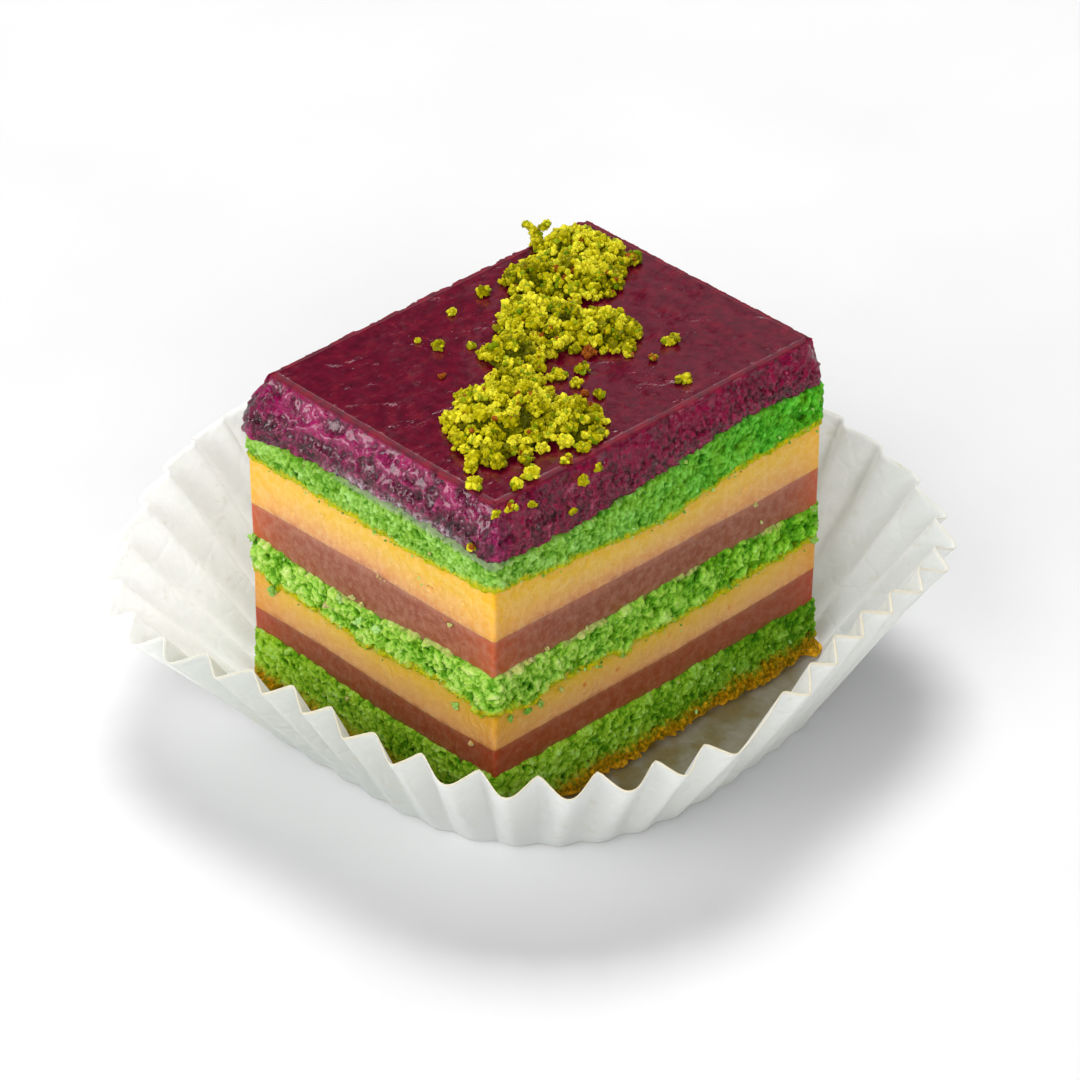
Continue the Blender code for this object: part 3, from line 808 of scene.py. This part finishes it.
whole = new_piece()
for name, below, seed, coarse in SPONGES:
    bm = new_piece()
    for _ in range(LOOSE):
        flat, away, station = cut_side(draw.random(), SPONGE_CORNER)
        low = layer_top(below, station) if below else 1.4
        high = layer_top(name, station)
        where = draw.random()
        if where < 0.45:
            height = low + draw.uniform(-0.35, 0.6)
        elif where < 0.52 and below:
            height = low - draw.uniform(0.3, 1.8) * draw.random()
        else:
            height = low + (high - low) * draw.uniform(0.1, 1.0)
        point = flat + UP * height
        on_sponge = height > low - 0.3
        out = 0.32 + crumb_relief(point, seed, coarse) if on_sponge else 0.0
        radius = (0.12 + 0.18 * draw.random() ** 2) * (1.0 if on_sponge else 0.6)
        kind = 0.8 * draw.random() ** 8 if on_sponge else 0.3 * draw.random()
        spot = point + away * (out + 0.2 * radius)
        add_grain(bm, spot, radius, draw.uniform(0.2, 0.85), kind, (1, draw.uniform(0.5, 1), 0.7))
    join_into(whole, bm)
bm = new_piece()
for station, height, radius, tone, kind in BITS:
    turn = (station if station < 1 else 1 + (station - 1) * CAKE_LENGTH / CAKE_WIDTH)
    flat, away, _ = cut_side(turn * CAKE_WIDTH / CAKE_ROUND, SPONGE_CORNER)
    middle = flat + away * 0.15 + UP * height
    add_grain(bm, middle, radius, tone, kind, (1, 0.85, 0.75))
    for _ in range(round(10 * radius)):
        add_grain(bm, middle + any_way() * radius * 0.8, radius * draw.uniform(0.3, 0.55), tone, kind)
join_into(whole, bm)

crumb, shader, place = new_material("sponge_crumb", soft(
    roughness=0.5, specular=0.2, glow=0.3, through=(1.0, 1.2, 0.2), depth=0.4))
tone, kind, _ = marks_of(place)
grain = clouds(place, 0.3, 4.0, 0.65)
color = ramp(tone * 0.6 + grain * 0.5, *BRIGHT_GREENS)
color = blend(kind, color, ramp(grain, (0.3, 160, 130, 40), (0.7, 226, 206, 150)))
wire(shader, {"Base Color": color, "Normal": relief(clouds(place, 0.25, 3.0, 0.6), 0.08)})
finish_piece("sponge_crumbs_loose", whole, crumb, "sponge", "sponge_top", "sponge_middle", "sponge_base",
             smooth=False)

# The jelly on top. A thick pour of dark berry jelly, set with a rippled glossy skin. Its cut
# sides tore as they were cut: they slant back to the top, rough and wet, and are pitted below.
JELLY_TOP = 39.2
JELLY_STEP = 0.2
JELLY_ROWS = 34
JELLY_CORNER = 1.5
JELLY_INSET_LEFT = 1.8
JELLY_INSET_FRONT = 1.6
JELLY_INSET_RIGHT = 0.6
JELLY_INSET_BACK = 1.3
JELLY_TUCK = 0.9
JELLY_TURN_IN = 2.0
BACK_SWELL = 0.9
# The drop that the points of the top edge carry as a mark.
RIM_MARK = 0.022
# Dimples in the skin, as the middle of each in plan, its radius and its depth.
DIMPLES = ((15.0, 2.0, 1.6, 0.07), (9.5, -2.6, 1.5, 0.06), (3.6, -5.9, 1.8, 0.09), (-12.2, 4.6, 0.5, 0.08))


def jelly_inset(away, slant):
    """How far a point of the jelly's side stands back in plan, for a slant from 0 to 1."""
    side = JELLY_INSET_RIGHT * slant**2 if away.x > 0 else JELLY_INSET_LEFT * slant
    front = JELLY_INSET_BACK * slant if away.y > 0 else JELLY_INSET_FRONT * slant
    turned_x = copysign(min(1.0, sqrt(2) * abs(away.x)), away.x)
    turned_y = copysign(min(1.0, sqrt(2) * abs(away.y)), away.y)
    return Vector((side * turned_x, front * turned_y, 0))


def ripple(point):
    """Height of the set skin over its level, in millimetres."""
    bent = point + Vector((wobble(point, 3), wobble(point, 3, (9, 0, 0)), 0)) * 0.8
    across, toward = 0.72 * bent.x - 0.69 * bent.y, 0.69 * bent.x + 0.72 * bent.y
    rise = 0.03 * noise.noise(Vector((across / 2.2, toward / 0.9, 0)))
    rise += 0.014 * noise.noise(Vector((across / 0.9, toward / 0.45, 4)))
    rise += 0.05 * wobble(bent, 3.2) + 0.1 * wobble(point, 7)
    for x, y, radius, depth in DIMPLES:
        rise -= depth * (1 - ease(hypot(point.x - x, point.y - y) / radius, 0.0, 1.5))
    return rise


def flakes(point, size, seed):
    """Flat broken faces about `size` across, each at its own height and tilt."""
    spot = point / size + Vector((seed, 2 * seed, 3 * seed))
    middle = noise.voronoi(spot)[1][0]
    tilt = noise.cell_vector(middle * 5.0) - Vector((0.5, 0.5, 0.5))
    return 0.4 * noise.cell(middle * 9.0) + 1.5 * tilt.dot(spot - middle)


def tear(point, station, drop):
    """How far the jelly's torn side stands out, for a drop of 0 at its top edge to 1 below. The
    left side broke into flat faces, and the right one tore more finely."""
    left = station % 4 < 1 or station % 4 > 3
    bent = stirred(point, 1.1, 0.25)
    below = ease(drop, 0.4, 0.6)
    out = 0.12 * wobble(bent, 2.6) + (0.02 + 0.06 * below) * wobble(bent, 0.45)
    if left:
        long = Vector((bent.x, 0.6 * bent.y, 1.2 * bent.z))
        out += (0.26 - 0.12 * below) * flakes(long, 1.7, 42) + (0.03 + 0.16 * below) * flakes(bent, 0.6, 45)
        out -= 0.12 * ease(wobble(bent, 0.8, (3, 1, 4)), 0.26, 0.34)
        out -= 0.12 * below * pores(point, 1.6, 0.3, 43) + 0.12 * below
    else:
        out += (0.08 + 0.12 * below) * flakes(bent, 0.7, 45) + (0.1 + 0.12 * below) * flakes(bent, 0.42, 46)
        out -= 0.14 * below * pores(point, 1.3, 0.3, 43)
    return out - 0.08 * below * pores(point, 0.8, 0.4, 44)


def round_the_grid(x, y):
    """How far round the cut sides a point at the edge of the top is, from 0 to 1."""
    half_x, half_y = CAKE_LENGTH / 2, CAKE_WIDTH / 2
    if abs(x + 1) < 1e-5:
        gone = half_y * (1 - y)
    elif abs(y + 1) < 1e-5:
        gone = CAKE_WIDTH + half_x * (1 + x)
    elif abs(x - 1) < 1e-5:
        gone = CAKE_WIDTH + CAKE_LENGTH + half_y * (1 + y)
    else:
        gone = 2 * CAKE_WIDTH + CAKE_LENGTH + half_x * (1 - x)
    return gone / CAKE_ROUND


def jelly_side(turn, row):
    """A point of the jelly's cut side, with its marks: stand-out, drop and smear."""
    flat, away, station = cut_side(turn % 1, JELLY_CORNER)
    around = station % 4
    low = layer_top("sponge_top", station)
    drop = max(0, row - 2) / (JELLY_ROWS - 2)
    height = JELLY_TOP - 0.12 - (JELLY_TOP - low + JELLY_TUCK) * drop
    share = min(1.0, (JELLY_TOP - height) / (JELLY_TOP - low))
    slant = max(0.0, (1 - share - 0.3) / 0.7)
    point = flat + UP * height - back_lean(station) * (1 - ease(share, 0.0, 0.6))
    out = tear(point, station, share) + 0.1
    fray = 0.4 * wobble(point, 1.4, (2, 0, 0)) + 0.25 * wobble(point, 0.6)
    foot = height - low - fray
    out = between(-0.8, out, ease(foot, -0.2, 0.1))
    if row < 2:
        out = out * (0.5 + 0.25 * row) - 0.05 * (2 - row)
        point.z += (0.07, 0.04)[row]
    if row == JELLY_ROWS:
        out -= JELLY_TURN_IN
    smear = (1 - ease(foot, 0.2, 1.5)) * ease(around, 0.25, 0.4) * (1 - ease(around, 0.8, 0.95))
    swell = BACK_SWELL * (1 - ease(min(around, 4 - around), 0.0, 0.22)) * ease(share, 0.1, 0.8)
    return point - jelly_inset(away, slant) + away * (out + swell), (0.5 + 1.6 * out, share, smear)


bm = new_piece()
marks = bm.verts.layers.float_color["marks"]
bmesh.ops.create_grid(bm, x_segments=round(CAKE_LENGTH / JELLY_STEP),
                      y_segments=round(CAKE_WIDTH / JELLY_STEP), size=1.0)
levels = [{v: round_the_grid(v.co.x, v.co.y) for v in bm.verts if v.is_boundary}]
ring = [e for e in bm.edges if e.is_boundary]
for row in range(1, JELLY_ROWS + 1):
    made = bmesh.ops.extrude_edge_only(bm, edges=ring)["geom"]
    fresh = [v for v in made if isinstance(v, bmesh.types.BMVert)]
    ring = [e for e in made if isinstance(e, bmesh.types.BMEdge)]
    levels.append({v: round_the_grid(v.co.x, v.co.y) for v in fresh})
for row, verts in enumerate(levels):
    for vert, turn in verts.items():
        vert.co, mark = jelly_side(turn, row)
        vert[marks] = (*(held(m) for m in mark), 1.0) if row else (0.5, RIM_MARK, 0.0, 1.0)
inner_x = (CAKE_LENGTH / 2 - JELLY_INSET_LEFT, CAKE_LENGTH / 2 - JELLY_INSET_RIGHT)
inner_y = (CAKE_WIDTH / 2 - JELLY_INSET_FRONT, CAKE_WIDTH / 2 - JELLY_INSET_BACK)
sides = {v for verts in levels for v in verts}
for vert in bm.verts:
    if vert in sides:
        continue
    x, y = vert.co.x, vert.co.y
    wide, deep = inner_x[x > 0], inner_y[y > 0]
    spot = Vector((x * wide, y * deep, 0))
    past_x = max(0.0, abs(spot.x) - (wide - JELLY_CORNER)) / JELLY_CORNER
    past_y = max(0.0, abs(spot.y) - (deep - JELLY_CORNER)) / JELLY_CORNER
    if past_x and past_y:
        spot.x = copysign(wide - JELLY_CORNER + JELLY_CORNER * past_x * sqrt(1 - past_y**2 / 2), x)
        spot.y = copysign(deep - JELLY_CORNER + JELLY_CORNER * past_y * sqrt(1 - past_x**2 / 2), y)
    near = min(wide - abs(spot.x), deep - abs(spot.y))
    uneven = 0.04 * wobble(spot, 0.55) + 0.04 * wobble(spot, 1.3)
    spot.z = JELLY_TOP + ripple(spot) * ease(near, -0.3, 0.8) + (uneven - 0.05) * (1 - ease(near, 0.1, 0.5))
    vert.co = spot
    vert[marks] = (0.5, RIM_MARK * (1 - ease(near, 0.15, 0.65)), 0.0, 1.0)
close_ends(bm)
bmesh.ops.recalc_face_normals(bm, faces=bm.faces[:])


def broken_faces(place, size, steepness):
    """Height in millimetres of flat broken faces about `size` across, each with its own tilt."""
    faces = put(place.tree, "TexVoronoi", {"Vector": place, "Scale": 1 / size}).outputs
    from_middle = vectors("SUBTRACT", place, Reading(faces["Position"]))
    tilt = vectors("SUBTRACT", Reading(faces["Color"]), (0.5, 0.5, 0.5))
    return vectors("DOT_PRODUCT", from_middle, tilt, "Value") * steepness


JELLY_RIM_HIGHLIGHT = paint(150, 8, 34)
JELLY_FLECK = paint(176, 12, 40)
SMEAR_WHITE = paint(196, 184, 190)
LEFT_SIDE_AT = (-22.2, -20.6)
jelly, shader, place = new_material("berry_jelly", {
    **soft(roughness=0.12, specular=0.5, glow=0.25, through=(1.6, 0.15, 0.3), depth=0.8),
    "IOR": 1.37, "Coat Weight": 0.3, "Coat Roughness": 0.05,
})
stands, drop, smear = marks_of(place)
depths = clouds(place, 1.4, 5.0, 0.6)
top_color = ramp(depths, (0.3, 72, 0, 22), (0.5, 92, 0, 30), (0.75, 114, 2, 33))
# Painted light and shade: raised torn faces are painted lighter and pits darker.
torn = stands + (clouds(place, 0.5, 4.0, 0.65) - 0.5) * 1.1
side_color = ramp(torn, (0.1, 34, 0, 12), (0.45, 82, 0, 32), (0.8, 140, 6, 60))
# The left side is painted paler and bluer: the jelly's crimson with a painted lilac reflection.
left_color_and_sheen = ramp(torn, (0.1, 48, 0, 20), (0.45, 96, 0, 46), (0.8, 152, 12, 86))
side_color = blend(reach(along_cake(place), *LEFT_SIDE_AT, 1.0, 0.0), side_color, left_color_and_sheen)
color = blend(reach(drop, 0.024, 0.06), top_color, side_color)
rim = reach(drop, 0.0, 0.015) * reach(drop, 0.03, 0.1, 1.0, 0.0)
# Painted highlight: a lighter red along the jelly's top edge.
color = blend(rim * reach(depths, 0.4, 0.6) * 0.25, color, JELLY_RIM_HIGHLIGHT)
color = blend(specks(place, 1.3, 0.08) * 0.5, color, JELLY_FLECK)
frost = reach(clouds(place, 0.5, 4.0, 0.7), 0.42, 0.58)
color = blend(smear * frost * 0.8, color, SMEAR_WHITE)
shine = reach(clouds(place, 1.4, 4.0), 0.35, 0.65, 0.05, 0.14) + rim * 0.6
shine = shine + reach(drop, 0.05, 0.12, 0.0, 0.06)
along_ripples = read(place.tree, "Mapping", "Vector", {
    "Vector": place, "Rotation": (0.0, 0.0, -0.76), "Scale": (0.45, 1.0, 1.0)})
normal = relief(clouds(along_ripples, 0.8, 4.0, 0.6), 0.065)
warped = vectors("ADD", place, clouds(place, 0.7, 3.0, 0.6))
broad = broken_faces(warped, 1.3, 0.75) * reach(drop, 0.03, 0.1)
small = broken_faces(warped, 0.45, 1.6) * reach(drop, 0.02, 0.6)
normal = relief(broad + small, 1.0, normal)
fine = clouds(place, 0.32, 4.0, 0.65) * reach(drop, 0.0, 0.6, 0.1, 1.0)
wire(shader, {"Base Color": color, "Roughness": shine, "Coat Weight": reach(rim, 0.0, 0.6, 0.3, 0.0),
              "Normal": relief(fine, 0.05, normal)})
finish_piece("jelly_poured", bm, jelly, "glaze", "glaze")

# The pistachio crumbs. Skinned green nuts, crushed into lumps and grit and dropped from a spoon
# in a wavering line from the front corner to the back one. A few brown skins went with them.
# Its mounds as the middle of each in plan, its radius and its height.
MOUNDS = (
    (-11.2, -7.2, 5.8, 3.6), (-7.0, -11.2, 3.6, 2.6), (-15.6, -9.2, 2.7, 1.9), (-10.6, -2.8, 2.7, 1.9),
    (-6.3, -3.2, 3.4, 2.3), (-1.8, 1.2, 3.4, 2.6), (3.8, 2.8, 4.7, 3.4), (8.0, -1.5, 3.6, 2.3),
    (4.4, 6.6, 2.8, 2.0), (9.8, 10.8, 3.1, 2.6), (13.4, 7.8, 4.1, 2.8), (16.8, 11.9, 3.9, 2.9),
    (18.6, 8.9, 2.6, 2.0),
)
LUMPS = 300
LUMP_TRIES = 14
GRIT = 21
BROWN_SHARE = 0.025
draw = random.Random(5)


def mound_height(x, y):
    """Height of the heap over the jelly, in millimetres, or zero beside it."""
    found = 0.0
    for middle_x, middle_y, radius, height in MOUNDS:
        off = hypot(x - middle_x, y - middle_y) / radius
        if off < 1:
            found = max(found, height * sqrt(1 - off**2))
    return found


def add_cluster(heap, middle, radius, tone, brown, floor):
    """A crumb: a core with grit stuck all over it. Nothing goes below the floor."""
    bm = new_piece()
    kind = 1.0 if draw.random() < brown else 0.0
    stretch = (1, draw.uniform(0.8, 1.1), draw.uniform(0.75, 1.0))
    # Painted shade: the core is painted darker than the grit round it.
    add_grain(bm, middle, radius * 0.92, tone - 0.15, kind, stretch)
    for _ in range(round(GRIT * (0.35 + radius) ** 1.4)):
        away = any_way()
        away.z = abs(away.z) * 1.1 - 0.3
        size = (0.16 + 0.28 * draw.random() ** 1.3) * (0.7 + 0.45 * radius)
        spot = middle + away * radius * draw.uniform(0.7, 1.12)
        spot.z = max(spot.z, floor + 0.5 * size)
        kind = 1.0 if draw.random() < brown else 0.0
        stretch = (1, draw.uniform(0.7, 1.0), draw.uniform(0.6, 1.0))
        add_grain(bm, spot, size, tone + draw.uniform(-0.25, 0.3), kind, stretch)
    join_into(heap, bm)


def add_bed(heap, x, y, radius, height):
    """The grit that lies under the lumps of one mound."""
    bm = new_piece()
    marks = bm.verts.layers.float_color["marks"]
    bmesh.ops.create_icosphere(bm, subdivisions=6 if radius > 4.5 else 5, radius=1.0)
    cut = {"plane_co": (0, 0, -0.1), "plane_no": (0, 0, -1), "clear_outer": True}
    bmesh.ops.bisect_plane(bm, geom=bm.verts[:] + bm.edges[:] + bm.faces[:], **cut)
    close_ends(bm)
    for vert in bm.verts:
        away = vert.co.normalized()
        wide = 0.84 * radius * (1 + 0.12 * noise.noise(Vector((x, y, 0)) + 2 * away))
        spot = Vector((x + wide * vert.co.x, y + wide * vert.co.y, JELLY_TOP + 0.66 * height * vert.co.z))
        out = 0.42 * lumps(spot, 1.2, 31) + 0.26 * lumps(spot, 0.6, 32)
        vert.co = spot + away * out * ease(vert.co.z, -0.1, 0.1)
        # Painted shade: the bed is painted darker than the lumps, and darker still in its hollows.
        vert[marks] = (held(0.1 + out), 0.0, 0.5, 1.0)
    join_into(heap, bm)


bm = new_piece()
for mound in MOUNDS:
    add_bed(bm, *mound)
kept = []
weights = [radius**2 for _, _, radius, _ in MOUNDS]
for size in sorted((draw.random() ** 1.3 for _ in range(LUMPS)), reverse=True):
    radius = 0.36 + 0.55 * size
    best, best_room = None, -1.0
    for _ in range(LUMP_TRIES):
        middle_x, middle_y, spread, _ = draw.choices(MOUNDS, weights)[0]
        turn, share = draw.uniform(0, 6.28), sqrt(draw.random()) * 1.02
        x, y = middle_x + spread * share * cos(turn), middle_y + spread * share * sin(turn)
        ceiling = mound_height(x, y) * (1.0 + 0.4 * wobble(Vector((x, y, 0)), 2.2)) - 0.8 * radius
        z = max(0.55 * radius, ceiling * (1.04 - 0.3 * draw.random() ** 2))
        spot = Vector((x, y, JELLY_TOP + z))
        room = min(((spot - other).length / (radius + far) for other, far in kept), default=9.0)
        if room > best_room:
            best, best_room = spot, room
    kept.append((best, radius))
    add_cluster(bm, best, radius, draw.uniform(0.25, 0.95), BROWN_SHARE, JELLY_TOP)

pistachio, shader, place = new_material("crushed_pistachio", soft(
    roughness=0.4, specular=0.07, glow=0.3, through=(1.2, 1.0, 0.1), depth=0.4))
tone, kind, chance = marks_of(place)
grain = clouds(place, 0.3, 4.0, 0.65)
color = ramp(tone * 0.75 + grain * 0.4, (0.15, 70, 76, 0), (0.36, 122, 118, 0), (0.6, 178, 168, 0),
             (0.95, 234, 224, 50))
color = blend(reach(chance, 0.86, 0.92) * 0.65, color, paint(82, 128, 4))
color = blend(kind, color, ramp(grain, (0.3, 96, 34, 8), (0.7, 176, 98, 26)))
wire(shader, {"Base Color": color, "Normal": relief(clouds(place, 0.22, 3.0, 0.6), 0.08)})
finish_piece("pistachio_heap", bm, pistachio, "crumbs", "pistachio_crumbs", smooth=False)

# The crumbs that fell beside the heap, on the jelly and on its slanting sides. Each is one crumb
# of the same crushed nut, and a few are bits of brown skin.
# On the skin: the place in plan, the radius and the share of brown skin in each.
STRAYS = (
    (4.36, 12.8, 0.75, 0), (-0.74, 12.19, 0.45, 0), (-6.27, 8.32, 0.6, 0), (-3.58, 6.28, 0.36, 0),
    (-9.81, 4.04, 0.3, 1), (-4.19, 3.4, 0.5, 0), (-14.99, -3.61, 0.55, 0.2), (-17.08, -6.88, 0.95, 0),
    (-19.2, -10.31, 0.6, 0), (-21.0, -12.84, 0.85, 0), (-16.8, -11.62, 0.8, 0), (-14.25, -13.07, 0.65, 0),
    (-15.79, -15.54, 0.8, 0), (-18.02, -15.61, 0.6, 0), (-11.5, -15.9, 0.5, 0.3), (-11.0, -15.6, 0.35, 0),
    (-8.77, -15.5, 0.62, 0), (-6.95, -15.2, 0.65, 0), (-4.99, -13.42, 0.6, 0), (-5.4, -12.27, 0.5, 0),
    (-3.11, -10.64, 0.5, 1), (-0.78, -9.53, 0.55, 0), (4.11, -3.21, 0.7, 1), (5.41, -3.92, 0.42, 0),
    (6.62, -4.29, 0.4, 0), (7.37, -5.27, 0.5, 0), (6.84, -6.09, 0.36, 0.4), (9.87, -4.19, 0.55, 0),
    (8.07, -8.32, 0.42, 0.2), (12.06, -7.35, 0.6, 0), (11.2, -7.0, 0.5, 0), (7.66, -13.45, 0.55, 0),
    (7.0, -13.2, 0.4, 0), (-1.2, -4.19, 0.7, 0), (-1.01, -6.46, 0.55, 0), (1.27, -4.98, 0.7, 0),
    (-2.12, -3.83, 0.4, 0), (-6.8, 10.8, 0.25, 0), (-1.6, -8.4, 0.25, 1),
)
# On the sides: the middle and the radius of each.
SIDE_STRAYS = (
    (-12.71, -18.1, 34.96, 0.32), (-10.52, -17.3, 37.31, 0.6), (-8.33, -17.1, 37.66, 0.42),
    (-19.99, -16.9, 38.42, 0.6), (-17.38, -17.2, 37.49, 0.4), (-21.92, -16.8, 38.33, 0.42),
    (-23.5, -14.98, 34.33, 0.35),
)
# The pile behind the heap: the place of each crumb in plan, its height over the jelly and its radius.
PILE = (
    (14.9, 15.9, 0.5, 0.75), (14.9, 15.9, 1.2, 0.65), (14.8, 16.0, 1.8, 0.58), (14.3, 16.3, 2.5, 0.5),
    (15.5, 15.5, 2.5, 0.48), (14.0, 16.5, 3.0, 0.38), (15.8, 15.3, 2.9, 0.38),
)
bm = new_piece()
for x, y, radius, brown in STRAYS:
    spot = Vector((x, y, JELLY_TOP + 0.55 * radius))
    add_cluster(bm, spot, radius, draw.uniform(0.35, 0.7), brown, JELLY_TOP)
for x, y, z, radius in SIDE_STRAYS:
    add_cluster(bm, Vector((x, y, z)), radius, draw.uniform(0.35, 0.7), 2 * BROWN_SHARE, 0.0)
for x, y, z, radius in PILE:
    add_cluster(bm, Vector((x, y, JELLY_TOP + z)), radius, 0.55, 0.0, JELLY_TOP)
finish_piece("pistachio_strays", bm, pistachio, "crumbs", "glaze", smooth=False)

# The table is plain and pale. A broad window light stands to the left and behind, a softer one
# overhead, and a weak one fills in from the front. A low one rakes the left side, and a card far
# behind shows in the gloss of the jelly.
surface, shader, place = new_material("pale_table", {"Roughness": 0.6, "Specular IOR Level": 0.2})
wire(shader, {"Base Color": ramp(clouds(place, 40.0, 3.0), (0.3, 220, 220, 220), (0.7, 225, 225, 225))})
bm = bmesh.new()
bmesh.ops.create_grid(bm, x_segments=1, y_segments=1, size=3.0)
mesh = bpy.data.meshes.new("table")
bm.to_mesh(mesh)
bm.free()
mesh.materials.append(surface)
table = bpy.data.objects.new("table", mesh)
scene.collection.objects.link(table)
table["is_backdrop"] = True


LIT_HEIGHT = 0.02


def add_light(name, toward, distance, size, strength):
    """A softbox that faces the cake from a direction. Its strength is the light that reaches
    the cake, in watts to a square metre, before the surface's own tilt."""
    lamp = bpy.data.lights.new(name, "AREA")
    lamp.shape = "RECTANGLE"
    lamp.size, lamp.size_y = size
    lamp.energy = pi * strength * distance**2
    light = bpy.data.objects.new(name, lamp)
    away = Vector(toward).normalized()
    light.location = away * distance + UP * LIT_HEIGHT
    light.rotation_mode = "QUATERNION"
    light.rotation_quaternion = (-away).to_track_quat("-Z", "Y")
    scene.collection.objects.link(light)
    light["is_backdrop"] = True


add_light("window", (-0.8, -0.1, 0.58), 1.5, (1.1, 0.9), 2.0)
add_light("back_light", (0.345, 0.36, 0.866), 1.5, (0.75, 0.75), 2.75)
add_light("front_fill", (-0.38, -0.66, 0.46), 1.5, (1.0, 0.6), 1.45)
add_light("low_window", (-0.8, 0.6, 0.06), 1.3, (0.4, 0.24), 0.8)
add_light("far_card", (0.77, 0.44, 0.531), 1.5, (0.75, 0.4), 0.04)
world = bpy.data.worlds.new("studio")
world.use_nodes = True
wire(world.node_tree.nodes["Background"], {"Color": (1.0, 1.0, 1.0, 1.0), "Strength": 0.1})
scene.world = world

lens = bpy.data.cameras.new("camera")
lens.lens = 156.3
lens.sensor_width = 36.0
camera = bpy.data.objects.new("camera", lens)
camera.location = (-0.27929, -0.29212, 0.29197)
camera.rotation_mode = "QUATERNION"
aim = Vector((-0.007626, -0.008129, 0.024382))
camera.rotation_quaternion = (aim - camera.location).to_track_quat("-Z", "Y")
scene.collection.objects.link(camera)
scene.camera = camera

low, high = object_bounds()
